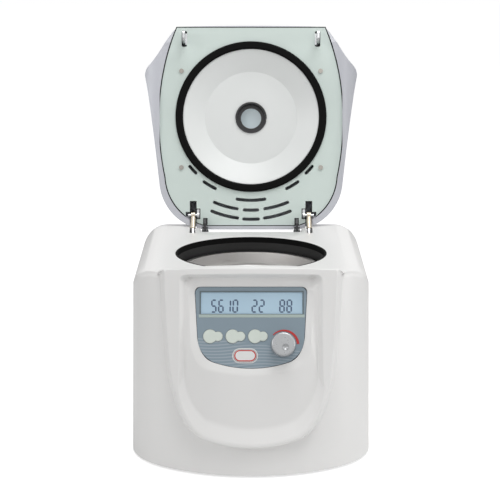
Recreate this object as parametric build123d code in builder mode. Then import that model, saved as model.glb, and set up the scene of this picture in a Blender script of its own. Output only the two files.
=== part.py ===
from build123d import *
from math import atan2, cos, radians, sin
import os

os.makedirs("parts", exist_ok=True)

# High-speed microcentrifuge, modelled in millimetres.
# The pieces are drawn round the rotor axis at X = 0, Y = 0, with the front at -Y and the bench at
# Z = 0. The lid is drawn shut. As each piece is written, the lid is swung open about its hinge and
# everything moves forward, so that the origin lies under the middle of the open instrument.
frame_back = 35.5

# Driving sizes of the housing
body_half_width = 141.5
body_front = 190.0
body_rear = 174.0
skirt_z = 3.0
deck_z = 222.0
wall = 4.0
top_z = 240.0
front_lean = 60.0
base_arc_radius = 177.0
top_arc_radius = 250.0
corner_radius = 92.0
rear_corner_radius = 26.0
shoulder_radius = 31.0

# Raised bib that frames the control panel
bib_lip_y = 137.0
bib_lip_z = 236.0
bib_foot_y = 193.0
bib_foot_z = 30.0
bib_top_arc = 546.0
bib_foot_arc = 185.0
bib_half_top = 102.0
bib_half_low = 84.0
bib_bottom_z = 34.6
bib_plan_half = 112.0
bib_overrun = 12.0
bib_depth = 60.0
bib_slope = (bib_foot_y - bib_lip_y) / (bib_lip_z - bib_foot_z)
lip_top_width = 12.0
lip_back_slope = 10.0
dish_half_width = 74.0
dish_half_low = 66.0
dish_bottom_z = 54.0
dish_top_z = 226.0
dish_bevel = 7.0

# Chamber, bowl and rotor
bowl_radius = 90.2
collar_width = 2.3
chamber_radius = bowl_radius + collar_width
collar_thickness = 2.4
fit_gap = 0.3
bowl_wall = 1.2
bowl_floor_z = 112.0
bowl_corner_radius = 6.0
guard_wall = 3.0
guard_gap = 2.2
rotor_clearance = 5.2
rotor_radius = bowl_radius - rotor_clearance
rotor_top_z = 205.0
rotor_rim = 5.0
rotor_rim_height = 15.0
rotor_bottom_z = 130.0
tube_count = 24
tube_bore_radius = 5.6
tube_depth = 38.0
tube_angle = 45.0
tube_mouth_radius = 49.0
rotor_floor_radius = 36.0
rotor_ledge = 8.0
rotor_skirt = 13.0
rotor_web = 8.0
hub_radius = 10.0
hub_flange_radius = 16.0
hub_flange_height = 9.0
nut_radius = 12.0
nut_height = 10.0
nut_washer_radius = 16.0
nut_washer_height = 3.0
shaft_end = 9.0
seal_radius = 14.0
seal_rise = 6.0
bearing_radius = 14.0
bearing_height = 8.0
shaft_radius = 6.0
running_gap = 0.05
motor_radius = 48.0
motor_bottom_z = 22.0
motor_top_z = 96.0
motor_edge = 5.0
motor_fins = 16
motor_fin_gap = (5.0, 6.0)
motor_fin_margin = 14.0
motor_plate_radius = 82.0
motor_plate_thickness = 4.0
damper_radius = 10.0
damper_height = 16.0

# Control panel
panel_tilt = 20.0
panel_top_y = 132.0
panel_top_z = 210.7
panel_half_width = 64.3
panel_height = 93.0
panel_thickness = 3.0
panel_corner = 7.0
key_pitch = 25.7
key_radius = 7.9
key_lobe_radius = 5.5
key_lobe_shift = 9.0
key_row = 56.6
key_first_x = -46.8
key_travel = 0.8
key_gap = 0.35
knob_x = 36.8
knob_row = 66.3
knob_radius = 14.2
knob_height = 13.0
knob_edge = 2.0
start_x = -6.7
start_row = 78.7
start_length = 26.0
start_width = 14.0
display_x = 0.8
display_row = 18.2
display_length = 117.0
display_height = 25.5
window_thickness = 1.6
module_depth = 7.0
module_drop = 3.0
board_thickness = 1.6
switch_height = 2.5
key_flange = 1.2
key_proud = 0.9
key_edge = 0.5
key_stem_radius = 2.2
bush_radius = 4.5
encoder_shaft_radius = 3.0

# Lid
lid_open = 104.5
hinge_y = 150.7
hinge_z = 218.3
lid_gap = 1.5
plate_z = 226.0
plate_thickness = 2.5
plate_front = 118.3
plate_rear = 143.7
plate_half_front = 98.0
plate_half_width = 121.0
plate_half_rear = 61.0
plate_gap = 0.8
lid_top_z = 268.0
lid_wall = 4.0
lid_taper = 15.0
rim_half_front = 104.0
rim_half_width = 141.0
rim_front = 131.0
rim_wide_y = 60.0
rim_half_rear = 119.0
rim_rear = 155.0
rim_rear_radius = 70.0
rim_side_radius = 34.0
rim_front_radius = 24.0
lid_low_z = 202.0
lid_edge_radius = 14.0
boss_radius = 5.0
screw_shank_radius = 1.5
screw_length = 12.0
gasket_outer = 99.5
gasket_inner = 89.5
gasket_height = 3.7
lid_dish_depth = 12.0
dish_rim_radius = 91.0
vent_centre_y = 0.0
vent_width = 4.3
vent_rows = (
    (110.5, 9.4, (0,)),
    (123.5, 4.0, (0,)),
    (123.0, 7.2, (-15.8, 15.8)),
    (135.5, 4.0, (0,)),
    (135.0, 7.4, (-15.0, 15.0)),
    (104.0, 3.2, (-47.5, 47.5)),
    (106.0, 4.6, (-31.0, 31.0)),
)
dish_wall = 1.6
dish_flat_radius = 61.0
port_radius = 18.5
port_wall = 2.0
port_depth = 12.0
glass_radius = 13.5
screw_x = 91.7
screw_front = 60.3
screw_rear = 67.3
screw_radius = 3.0
screw_head_height = 1.6

# Latch
hook_x = 88.0
hook_thickness = 3.0
hook_width = 15.0
hook_y = 103.0
hook_tip_z = 198.0
hook_slot_width = 7.0
hook_slot_length = 23.0
latch_z = 205.0
latch_pin_radius = 2.5
latch_travel = 7.0
latch_bar_y = 104.0
latch_bar_depth = 6.0
latch_bar_height = 6.0
latch_lug_thickness = 3.0
latch_pin_gap = 1.5
latch_pin_length = 6.5
latch_peg_radius = 2.0
latch_peg_length = 6.0
rail_half_length = 58.0
rail_wall = 2.0
drive_box = (48.0, 14.0, 20.0)

# Hinge and gas struts
arm_x = 60.0
arm_thickness = 3.0
arm_eye_radius = 5.0
arm_rise = 9.0
arm_foot = 14.0
ear_thickness = 2.0
fork_foot_height = 2.0
stud_plate = 3.0
stud_plate_x = 68.0
stud_plate_width = 12.0
stud_foot_height = 2.0
hinge_pin_radius = 2.5
well_half_width = 66.0
well_wall = 2.5
well_front = 124.0
well_floor_z = 208.5
relief_half_width = 77.5
relief_front = 150.0
relief_z = 214.0
strut_x = 76.0
strut_pin_y = 130.3
strut_pin_z = 226.5
strut_foot_y = 92.0
strut_foot_z = 150.0
strut_slot_width = 8.0
strut_rod_radius = 2.5
strut_body_radius = 6.5
strut_body_low = 15.0
strut_body_top = 62.0
strut_tube_wall = 1.5
strut_seal_height = 5.0
strut_pin_radius = 2.0
strut_end_radius = 3.5
strut_end_length = 20.0
strut_rod_reach = 62.0
strut_foot_radius = 5.0
strut_foot_width = 6.0
strut_notch = 31.8
arm_notch = 9.4
pin_reach = 9.5
stud_inset = 3.0
stud_foot_back = 9.0
strut_eye_radius = 4.5
strut_slot_front = 117.0
strut_slot_rear = 164.0
post_wall = 2.0
post_depth = 20.0
post_top_z = 157.0
post_slot_width = 9.0

# Base, feet and rear
base_thickness = 2.0
foot_radius = 12.0
foot_height = 4.0
foot_x = 100.0
foot_front = 105.0
foot_rear = 140.0
foot_places = [(side * foot_x, y) for side in (-1, 1) for y in (-foot_front, foot_rear)]
rear_panel_width = 208.0
rear_panel_height = 148.0
rear_panel_mid_z = 110.0
rear_panel_thickness = 2.0
inlet_x = -62.0
inlet_z = 66.0
switch_x = -62.0
switch_z = 104.0
inlet_body_width = 27.0
inlet_body_height = 31.0
inlet_flange = 2.0
inlet_body_depth = 22.0
socket_width = 24.4
socket_height = 16.4
socket_depth = 17.0
pin_recess = 4.6
drawer_width = 22.0
drawer_height = 6.0
drawer_depth = 20.0
switch_width = 27.0
switch_frame_height = 25.0
switch_body_depth = 16.0
rocker_width = 21.0
rocker_height = 20.0
rocker_y = 172.0
rocker_pin_radius = 1.5
rocker_pin_length = 1.8
rocker_swing = 14.0
louvre_x = 34.0
louvre_length = 48.0
louvre_height = 3.4
louvre_pitch = 9.0
louvre_rows = 12

hinge_axis = Axis((0, hinge_y, hinge_z), (1, 0, 0))


def centred(piece):
    """Move a finished piece so that the origin lies under the middle of the open instrument."""
    placed = piece.translate((0, -frame_back, 0))
    placed.label = piece.label
    return placed


def body_plan(half_width, front, rear, arc_radius, corner, rear_corner):
    """Plan outline: bowed front, straight sides, rounded corners."""
    corner_mid_x = half_width - corner
    corner_mid_y = arc_radius - front - ((arc_radius - corner) ** 2 - corner_mid_x**2) ** 0.5
    meet = arc_radius / (arc_radius - corner)
    meet_x = corner_mid_x * meet
    meet_y = (arc_radius - front) + (corner_mid_y - (arc_radius - front)) * meet
    slant = atan2(corner_mid_y - meet_y, meet_x - corner_mid_x) / 2
    corner_x = corner_mid_x + corner * cos(slant)
    corner_y = corner_mid_y - corner * sin(slant)
    rear_bend = rear_corner * (1 - sin(radians(45)))
    with BuildSketch(mode=Mode.PRIVATE) as plan:
        with BuildLine():
            ThreePointArc((-meet_x, meet_y), (0, -front), (meet_x, meet_y))
            ThreePointArc((meet_x, meet_y), (corner_x, corner_y), (half_width, corner_mid_y))
            Line((half_width, corner_mid_y), (half_width, rear - rear_corner))
            ThreePointArc(
                (half_width, rear - rear_corner),
                (half_width - rear_bend, rear - rear_bend),
                (half_width - rear_corner, rear),
            )
            Line((half_width - rear_corner, rear), (rear_corner - half_width, rear))
            ThreePointArc(
                (rear_corner - half_width, rear),
                (rear_bend - half_width, rear - rear_bend),
                (-half_width, rear - rear_corner),
            )
            Line((-half_width, rear - rear_corner), (-half_width, corner_mid_y))
            ThreePointArc((-half_width, corner_mid_y), (-corner_x, corner_y), (-meet_x, meet_y))
        make_face()
    return plan.sketch


def body_form(grow, floor_z):
    """Housing without its bib: leaning bowed front, rounded shoulders, grown by a wall or a gap."""
    half = body_half_width + grow
    rear = body_rear + grow
    corner = corner_radius + grow
    rear_corner = rear_corner_radius + grow
    low = body_plan(half, body_front + grow, rear, base_arc_radius + grow, corner, rear_corner)
    high_front = body_front - front_lean + grow
    high = body_plan(half, high_front, rear, top_arc_radius + grow, corner, rear_corner)
    with BuildPart(mode=Mode.PRIVATE) as form:
        with BuildSketch(Plane.XY.offset(floor_z)):
            add(low)
        with BuildSketch(Plane.XY.offset(top_z)):
            add(high)
        loft(ruled=True)
        with BuildSketch(Plane.XZ.offset(-2 * body_rear)):
            with Locations((0, (deck_z + grow) / 2)):
                shoulders = Rectangle(2 * half, deck_z + grow)
            fillet(shoulders.vertices().group_by(Axis.Y)[-1], shoulder_radius + grow)
        extrude(amount=4 * body_rear, mode=Mode.INTERSECT)
    return form.part


def bib_outline(half_top, half_low, bottom_z, high_z, grow):
    """Rounded U seen from the front, from its bottom curve up to a straight top."""
    with BuildSketch(mode=Mode.PRIVATE) as outline:
        with BuildLine():
            ThreePointArc(
                (-0.66 * half_low - grow, bottom_z + 9 - grow),
                (0, bottom_z - grow),
                (0.66 * half_low + grow, bottom_z + 9 - grow),
            )
            ThreePointArc(
                (0.66 * half_low + grow, bottom_z + 9 - grow),
                (0.88 * half_low + grow, bottom_z + 28 - 0.6 * grow),
                (half_low + grow, bottom_z + 57),
            )
            ThreePointArc(
                (half_low + grow, bottom_z + 57),
                (0.6 * half_top + 0.4 * half_low + grow, bottom_z + 0.52 * (high_z - bottom_z)),
                (half_top + grow, high_z),
            )
            Line((half_top + grow, high_z), (-half_top - grow, high_z))
            ThreePointArc(
                (-half_top - grow, high_z),
                (-0.6 * half_top - 0.4 * half_low - grow, bottom_z + 0.52 * (high_z - bottom_z)),
                (-half_low - grow, bottom_z + 57),
            )
            ThreePointArc(
                (-half_low - grow, bottom_z + 57),
                (-0.88 * half_low - grow, bottom_z + 28 - 0.6 * grow),
                (-0.66 * half_low - grow, bottom_z + 9 - grow),
            )
        make_face()
    return outline.sketch


def bib_plan(front, arc_radius):
    """Plan of the bib's bowed front, with straight sides run back into the body."""
    side_y = arc_radius - front - (arc_radius**2 - bib_plan_half**2) ** 0.5
    with BuildSketch(mode=Mode.PRIVATE) as plan:
        with BuildLine():
            ThreePointArc((-bib_plan_half, side_y), (0, -front), (bib_plan_half, side_y))
            Polyline(
                (bib_plan_half, side_y), (bib_plan_half, 0), (-bib_plan_half, 0), (-bib_plan_half, side_y)
            )
        make_face()
    return plan.sketch


def bib_form(grow):
    """Bib that stands proud of the front, with the lip along its top."""
    low_z = bib_bottom_z - bib_overrun
    high_z = bib_lip_z + bib_overrun
    lip_top = bib_lip_z + grow
    lip_rear = -bib_lip_y + lip_top_width + grow
    with BuildPart(mode=Mode.PRIVATE) as form:
        with BuildSketch(Plane.XY.offset(low_z)):
            add(bib_plan(bib_lip_y + bib_slope * (bib_lip_z - low_z) + grow, bib_foot_arc))
        with BuildSketch(Plane.XY.offset(high_z)):
            add(bib_plan(bib_lip_y - bib_slope * bib_overrun + grow, bib_top_arc))
        loft(ruled=True)
        with BuildSketch(Plane.XZ):
            add(bib_outline(bib_half_top, bib_half_low, bib_bottom_z, lip_top, grow))
        extrude(amount=2 * body_front, mode=Mode.INTERSECT)
        with BuildSketch(Plane.YZ.offset(-body_half_width)):
            with BuildLine():
                Polyline(
                    (-2 * body_front, 0),
                    (-2 * body_front, lip_top),
                    (lip_rear, lip_top),
                    (lip_rear + lip_back_slope, deck_z - wall / 2),
                    (lip_rear + lip_back_slope, deck_z - wall),
                    (-bib_foot_y + bib_depth, 0),
                    (-2 * body_front, 0),
                )
            make_face()
        extrude(amount=2 * body_half_width, mode=Mode.INTERSECT)
    return form.part


# The panel's plane: local X is across, local Y is up the slope, its normal faces the user.
tilt = radians(panel_tilt)
panel = Plane(
    origin=(0, -panel_top_y, panel_top_z), x_dir=(1, 0, 0), z_dir=(0, -cos(tilt), sin(tilt))
)


def panel_outline(grow):
    """Control panel: straight top, sides drawn in to a shallow round bottom."""
    low = -panel_height - grow
    with BuildSketch(mode=Mode.PRIVATE) as outline:
        with BuildLine():
            half = panel_half_width + grow
            Line((-half, grow), (half, grow))
            Line((half, grow), (half - 3.3, low + 35))
            ThreePointArc((half - 3.3, low + 35), (half - 9.3, low + 17), (half - 20.5, low + 7.5))
            ThreePointArc((half - 20.5, low + 7.5), (0, low), (20.5 - half, low + 7.5))
            ThreePointArc((20.5 - half, low + 7.5), (9.3 - half, low + 17), (3.3 - half, low + 35))
            Line((3.3 - half, low + 35), (-half, grow))
        make_face()
        fillet(outline.vertices().group_by(Axis.Y)[-1], panel_corner + grow)
    return outline.sketch


def apron_form(back):
    """All that lies behind the panel, the apron below it and the hollow under the lip."""
    low_y = panel_top_y + panel_height * sin(tilt)
    low_z = panel_top_z - panel_height * cos(tilt)
    apron_foot_y = bib_lip_y + bib_slope * (bib_lip_z - dish_bottom_z) - 3.0
    with BuildPart(mode=Mode.PRIVATE) as form:
        with BuildSketch(Plane.YZ.offset(-body_half_width)):
            with BuildLine():
                Line((2 * body_rear, top_z), (-panel_top_y + 8 + back, top_z))
                Line((-panel_top_y + 8 + back, top_z), (-panel_top_y + 5 + back, dish_top_z))
                ThreePointArc(
                    (-panel_top_y + 5 + back, dish_top_z),
                    (-panel_top_y + 4.2 + back, panel_top_z + 8),
                    (-panel_top_y + back, panel_top_z),
                )
                Polyline(
                    (-panel_top_y + back, panel_top_z),
                    (-low_y + back, low_z),
                    (-low_y - 2.0 + back, low_z - 8),
                    (-apron_foot_y + back, dish_bottom_z),
                    (-apron_foot_y - 6 + back, 0),
                    (2 * body_rear, 0),
                    (2 * body_rear, top_z),
                )
            make_face()
        extrude(amount=2 * body_half_width)
    return form.part


# Housing: one moulding with its deck, shoulders, bib, wells and slots
crest_tilt = atan2(bib_foot_y - bib_lip_y, bib_lip_z - bib_foot_z)
crest = Plane(
    origin=(0, -bib_lip_y, bib_lip_z), x_dir=(1, 0, 0), z_dir=(0, -cos(crest_tilt), sin(crest_tilt))
)
crest_low = (bib_lip_z - dish_bottom_z) / cos(crest_tilt)
crest_high = (bib_lip_z - dish_top_z) / cos(crest_tilt)

with BuildPart(mode=Mode.PRIVATE) as dish_cut:
    for depth, grow in ((2, 1.5), (-12, 1.5 - dish_bevel)):
        with BuildSketch(crest.offset(depth)):
            with Locations((0, -crest_low)):
                add(bib_outline(dish_half_width, dish_half_low, 0, crest_low - crest_high, grow))
    loft(ruled=True)
    add(apron_form(0), mode=Mode.SUBTRACT)

well = (2 * well_half_width, 2 * (body_rear - well_front), 2 * (deck_z - well_floor_z))

with BuildPart(mode=Mode.PRIVATE) as bib_hollow:
    add(bib_form(-wall))
    with BuildSketch(Plane.XZ):
        add(bib_outline(bib_half_top, bib_half_low, bib_bottom_z, deck_z - wall, -wall))
    extrude(amount=2 * body_front, mode=Mode.INTERSECT)

with BuildPart(mode=Mode.PRIVATE) as hollow:
    add(body_form(-wall, 0))
    add(bib_hollow.part)
    with Locations((0, body_rear, deck_z)):
        Box(
            2 * (relief_half_width + well_wall),
            2 * (body_rear - relief_front + well_wall),
            2 * (deck_z - relief_z + well_wall),
            mode=Mode.SUBTRACT,
        )
    add(apron_form(panel_thickness + wall), mode=Mode.INTERSECT)
    with Locations((0, body_rear, deck_z)):
        Box(
            well[0] + 2 * well_wall,
            well[1] + 2 * well_wall,
            well[2] + 2 * well_wall,
            mode=Mode.SUBTRACT,
        )

ledge = panel.offset(-panel_thickness)
rear_plane = Plane(origin=(0, body_rear, 0), x_dir=(-1, 0, 0), z_dir=(0, 1, 0))
slot_mid_y = (strut_slot_front + strut_slot_rear) / 2
slot_span = strut_slot_rear - strut_slot_front

with BuildPart() as housing:
    add(body_form(0, skirt_z))
    add(bib_form(0))
    add(dish_cut.part, mode=Mode.SUBTRACT)
    add(hollow.part, mode=Mode.SUBTRACT)
    with Locations((0, body_rear, deck_z)):
        Box(*well, mode=Mode.SUBTRACT)
        Box(
            2 * relief_half_width,
            2 * (body_rear - relief_front),
            2 * (deck_z - relief_z),
            mode=Mode.SUBTRACT,
        )
    with BuildSketch(Plane.XY.offset(relief_z - well_wall)):
        Circle(chamber_radius)
        with Locations((-strut_x, slot_mid_y), (strut_x, slot_mid_y)):
            SlotOverall(slot_span, strut_slot_width, rotation=90)
        with Locations((-hook_x, -hook_y), (hook_x, -hook_y)):
            RectangleRounded(hook_slot_width, hook_slot_length, 2)
    extrude(amount=2 * (deck_z - relief_z) + 2 * well_wall, mode=Mode.SUBTRACT)
    with BuildSketch(ledge):
        add(panel_outline(fit_gap))
    extrude(amount=2 * panel_thickness, mode=Mode.SUBTRACT)
    with BuildSketch(ledge):
        add(panel_outline(-wall))
    extrude(amount=-4 * wall, mode=Mode.SUBTRACT)
    with BuildSketch(rear_plane):
        with Locations((0, rear_panel_mid_z)):
            Rectangle(rear_panel_width - 2 * wall, rear_panel_height - 2 * wall)
    extrude(amount=-2 * wall, mode=Mode.SUBTRACT)
    with BuildSketch(rear_plane.offset(-rear_panel_thickness)):
        with Locations((0, rear_panel_mid_z)):
            Rectangle(rear_panel_width + 2 * fit_gap, rear_panel_height + 2 * fit_gap)
    extrude(amount=wall, mode=Mode.SUBTRACT)
housing.part.label = "housing"
export_step(centred(housing.part), "parts/housing.step")

# Chamber: rubber collar in the deck, drawn steel bowl, and the safety ring that carries both
flange_radius = bowl_radius + bowl_wall + guard_gap + guard_wall
flange_top_z = deck_z - wall - fit_gap
bowl_rim_z = flange_top_z - collar_thickness
guard_top_z = bowl_rim_z - bowl_wall
base_top_z = foot_height + base_thickness

with BuildPart() as chamber_collar:
    with BuildSketch(Plane.XZ):
        with BuildLine():
            Polyline(
                (bowl_radius, bowl_rim_z),
                (flange_radius, bowl_rim_z),
                (flange_radius, flange_top_z),
                (chamber_radius - fit_gap, flange_top_z),
                (chamber_radius - fit_gap, deck_z),
                (bowl_radius, deck_z),
                close=True,
            )
        make_face()
    revolve(axis=Axis.Z)
chamber_collar.part.label = "chamber_collar"
export_step(centred(chamber_collar.part), "parts/chamber_collar.step")

with BuildPart() as bowl:
    with BuildSketch(Plane.XZ):
        with BuildLine():
            FilletPolyline(
                (seal_radius, bowl_floor_z + seal_rise),
                (seal_radius + 2 * seal_rise, bowl_floor_z),
                (bowl_radius, bowl_floor_z),
                (bowl_radius, bowl_rim_z),
                radius=bowl_corner_radius,
            )
            Polyline(
                (bowl_radius, bowl_rim_z),
                (flange_radius, bowl_rim_z),
                (flange_radius, guard_top_z),
                (bowl_radius + bowl_wall, guard_top_z),
            )
            FilletPolyline(
                (bowl_radius + bowl_wall, guard_top_z),
                (bowl_radius + bowl_wall, bowl_floor_z - bowl_wall),
                (seal_radius + 2 * seal_rise, bowl_floor_z - bowl_wall),
                (seal_radius, bowl_floor_z + seal_rise - bowl_wall),
                radius=bowl_corner_radius + bowl_wall,
            )
            Line(
                (seal_radius, bowl_floor_z + seal_rise - bowl_wall),
                (seal_radius, bowl_floor_z + seal_rise),
            )
        make_face()
    revolve(axis=Axis.Z)
bowl.part.label = "bowl"
export_step(centred(bowl.part), "parts/bowl.step")

with BuildPart() as guard_ring:
    with BuildSketch(Plane.XY.offset(base_top_z)):
        Circle(flange_radius)
        Circle(flange_radius - guard_wall, mode=Mode.SUBTRACT)
    extrude(amount=guard_top_z - base_top_z)
guard_ring.part.label = "guard_ring"
export_step(centred(guard_ring.part), "parts/guard_ring.step")

# Rotor: dished head with slanted tube bores round a hub, held by a nut on the motor shaft
ledge_z = rotor_top_z - rotor_rim_height
ledge_radius = rotor_radius - rotor_rim - rotor_ledge
mouth_z = ledge_z - (ledge_radius - tube_mouth_radius)
dish_floor_z = mouth_z - (tube_mouth_radius - rotor_floor_radius)
hub_fit = hub_radius + running_gap

with BuildPart() as rotor:
    with BuildSketch(Plane.XZ):
        with BuildLine():
            Polyline(
                (hub_fit, dish_floor_z),
                (rotor_floor_radius, dish_floor_z),
                (ledge_radius, ledge_z),
                (rotor_radius - rotor_rim, ledge_z),
                (rotor_radius - rotor_rim, rotor_top_z),
                (rotor_radius, rotor_top_z),
                (rotor_radius, rotor_bottom_z + rotor_skirt),
                (rotor_radius - rotor_skirt, rotor_bottom_z),
                (tube_mouth_radius + rotor_web, rotor_bottom_z),
                (rotor_floor_radius, dish_floor_z - rotor_web),
                (hub_flange_radius + rotor_web / 2, dish_floor_z - rotor_web),
                (hub_flange_radius + rotor_web / 2, rotor_bottom_z),
                (hub_fit, rotor_bottom_z),
                close=True,
            )
        make_face()
    revolve(axis=Axis.Z)
    with PolarLocations(0, tube_count):
        with Locations(Location((tube_mouth_radius, 0, mouth_z), (0, -tube_angle, 0))):
            with Locations((0, 0, tube_bore_radius)):
                Cylinder(
                    tube_bore_radius,
                    tube_depth + tube_bore_radius,
                    align=(Align.CENTER, Align.CENTER, Align.MAX),
                    mode=Mode.SUBTRACT,
                )
rotor.part.label = "rotor"
export_step(centred(rotor.part), "parts/rotor.step")

with BuildPart() as rotor_hub:
    with BuildSketch(Plane.XY.offset(rotor_bottom_z - hub_flange_height)):
        Circle(hub_flange_radius)
        Circle(shaft_radius + running_gap, mode=Mode.SUBTRACT)
    extrude(amount=hub_flange_height)
    with BuildSketch(Plane.XY.offset(rotor_bottom_z)):
        Circle(hub_radius)
        Circle(shaft_radius + running_gap, mode=Mode.SUBTRACT)
    extrude(amount=dish_floor_z - rotor_bottom_z)
rotor_hub.part.label = "rotor_hub"
export_step(centred(rotor_hub.part), "parts/rotor_hub.step")

with BuildPart() as rotor_nut:
    with BuildSketch(Plane.XY.offset(dish_floor_z)):
        Circle(nut_washer_radius)
    extrude(amount=nut_washer_height)
    with BuildSketch(Plane.XY.offset(dish_floor_z + nut_washer_height)):
        RegularPolygon(nut_radius, 6)
    extrude(amount=nut_height)
    chamfer(rotor_nut.faces().sort_by(Axis.Z)[-1].edges(), 1.2)
    with BuildSketch(Plane.XY.offset(dish_floor_z)):
        Circle(shaft_radius + running_gap)
    extrude(amount=shaft_end, mode=Mode.SUBTRACT)
rotor_nut.part.label = "rotor_nut"
export_step(centred(rotor_nut.part), "parts/rotor_nut.step")

shaft_low_z = (motor_bottom_z + motor_top_z) / 2
with BuildPart() as motor_shaft:
    with BuildSketch(Plane.XY.offset(shaft_low_z)):
        Circle(shaft_radius)
    extrude(amount=dish_floor_z + shaft_end - fit_gap - shaft_low_z)
motor_shaft.part.label = "motor_shaft"
export_step(centred(motor_shaft.part), "parts/motor_shaft.step")

# Motor drive: can motor hung from a plate that stands on rubber dampers and pillars
with BuildPart() as motor:
    with BuildSketch(Plane.XY.offset(motor_bottom_z)):
        Circle(motor_radius)
    extrude(amount=motor_top_z - motor_bottom_z)
    chamfer(motor.edges().filter_by(GeomType.CIRCLE).group_by(Axis.Z)[0], motor_edge)
    with BuildSketch(Plane.XY.offset(motor_bottom_z + motor_fin_margin)):
        with PolarLocations(motor_radius, motor_fins):
            Rectangle(*motor_fin_gap)
    extrude(amount=motor_top_z - motor_bottom_z - 2 * motor_fin_margin, mode=Mode.SUBTRACT)
    with BuildSketch(Plane.XY.offset(shaft_low_z - fit_gap)):
        Circle(shaft_radius + running_gap)
    extrude(amount=motor_top_z - shaft_low_z + 1, mode=Mode.SUBTRACT)
    with BuildSketch(Plane.XY.offset(motor_top_z - bearing_height)):
        Circle(bearing_radius)
    extrude(amount=bearing_height + 1, mode=Mode.SUBTRACT)
motor.part.label = "motor"
export_step(centred(motor.part), "parts/motor.step")

with BuildPart() as motor_bearing:
    with BuildSketch(Plane.XY.offset(motor_top_z - bearing_height)):
        Circle(bearing_radius - running_gap)
        Circle(shaft_radius + running_gap, mode=Mode.SUBTRACT)
    extrude(amount=bearing_height)
motor_bearing.part.label = "motor_bearing"
export_step(centred(motor_bearing.part), "parts/motor_bearing.step")

with BuildPart() as motor_plate:
    with BuildSketch(Plane.XY.offset(motor_top_z)):
        Circle(motor_plate_radius)
        Circle(bearing_radius - 2, mode=Mode.SUBTRACT)
    extrude(amount=motor_plate_thickness)
motor_plate.part.label = "motor_plate"
export_step(centred(motor_plate.part), "parts/motor_plate.step")

pillar_ring = motor_plate_radius - damper_radius - 2
with BuildPart() as motor_dampers:
    with BuildSketch(Plane.XY.offset(motor_top_z - damper_height)):
        with PolarLocations(pillar_ring, 3, 90):
            Circle(damper_radius)
    extrude(amount=damper_height)
motor_dampers.part.label = "motor_dampers"
export_step(centred(motor_dampers.part), "parts/motor_dampers.step")

with BuildPart() as motor_pillars:
    with BuildSketch(Plane.XY.offset(base_top_z)):
        with PolarLocations(pillar_ring, 3, 90):
            Circle(damper_radius - 2)
    extrude(amount=motor_top_z - damper_height - base_top_z)
motor_pillars.part.label = "motor_pillars"
export_step(centred(motor_pillars.part), "parts/motor_pillars.step")

seal_low_z = motor_top_z + motor_plate_thickness
with BuildPart() as shaft_seal:
    with BuildSketch(Plane.XY.offset(seal_low_z)):
        Circle(seal_radius - fit_gap)
        Circle(shaft_radius + 1, mode=Mode.SUBTRACT)
    extrude(amount=bowl_floor_z + seal_rise - seal_low_z)
shaft_seal.part.label = "shaft_seal"
export_step(centred(shaft_seal.part), "parts/shaft_seal.step")

# Control panel: fascia, display, push keys, start key, knob and the board behind them
def key_outline(grow):
    """Keyhole shape: a round pad with a smaller lobe to its right."""
    with BuildSketch(mode=Mode.PRIVATE) as outline:
        Circle(key_radius + grow)
        with Locations((key_lobe_shift, 0)):
            Circle(key_lobe_radius + grow)
        with Locations((key_lobe_shift / 2, 0)):
            Rectangle(key_lobe_shift, 2 * (key_lobe_radius + grow) - 1.5)
    return outline.sketch


panel_axis = Axis(panel.origin, panel.z_dir)
key_places = [(key_first_x + number * key_pitch, -key_row) for number in range(3)]
board_top = -(panel_thickness + module_depth)

with BuildPart() as fascia:
    with BuildSketch(ledge):
        add(panel_outline(0))
        with Locations((display_x, -display_row)):
            Rectangle(display_length, display_height, mode=Mode.SUBTRACT)
        with Locations(*key_places):
            add(key_outline(key_gap), mode=Mode.SUBTRACT)
        with Locations((start_x, -start_row)):
            SlotOverall(start_length + 2 * key_gap, start_width + 2 * key_gap, mode=Mode.SUBTRACT)
        with Locations((knob_x, -knob_row)):
            Circle(bush_radius + fit_gap, mode=Mode.SUBTRACT)
    extrude(amount=panel_thickness)
fascia.part.label = "fascia"
export_step(centred(fascia.part), "parts/fascia.step")

with BuildPart() as display_window:
    with BuildSketch(ledge):
        with Locations((display_x, -display_row)):
            Rectangle(display_length - 2 * fit_gap, display_height - 2 * fit_gap)
    extrude(amount=window_thickness)
display_window.part.label = "display_window"
export_step(centred(display_window.part), "parts/display_window.step")

with BuildPart() as display_module:
    with BuildSketch(panel.offset(board_top)):
        with Locations((display_x, -display_row - module_drop)):
            Rectangle(display_length - 2 * module_drop, display_height + module_drop)
    extrude(amount=module_depth)
display_module.part.label = "display_module"
export_step(centred(display_module.part), "parts/display_module.step")

with BuildPart() as control_board:
    with BuildSketch(panel.offset(board_top - board_thickness)):
        add(panel_outline(-wall - 1))
    extrude(amount=board_thickness)
    with BuildSketch(panel.offset(board_top)):
        with Locations(*key_places, (start_x, -start_row)):
            Rectangle(6, 6)
    extrude(amount=switch_height)
control_board.part.label = "control_board"
export_step(centred(control_board.part), "parts/control_board.step")

stem_end = board_top + switch_height + key_travel + fit_gap
flange_back = -panel_thickness - fit_gap - key_flange
for number, place in enumerate(key_places, start=1):
    with BuildPart() as key:
        with BuildSketch(panel.offset(flange_back)):
            with Locations(place):
                add(key_outline(key_flange))
        extrude(amount=key_flange)
        with BuildSketch(panel.offset(flange_back + key_flange)):
            with Locations(place):
                add(key_outline(0))
        extrude(amount=panel_thickness + fit_gap + key_proud)
        chamfer(key.faces().sort_by(panel_axis)[-1].edges(), key_edge)
        with BuildSketch(panel.offset(flange_back)):
            with Locations(place):
                Circle(key_stem_radius)
        extrude(amount=stem_end - flange_back)
    key.part.label = f"key_{number}"
    export_step(centred(key.part), f"parts/key_{number}.step")

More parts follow.
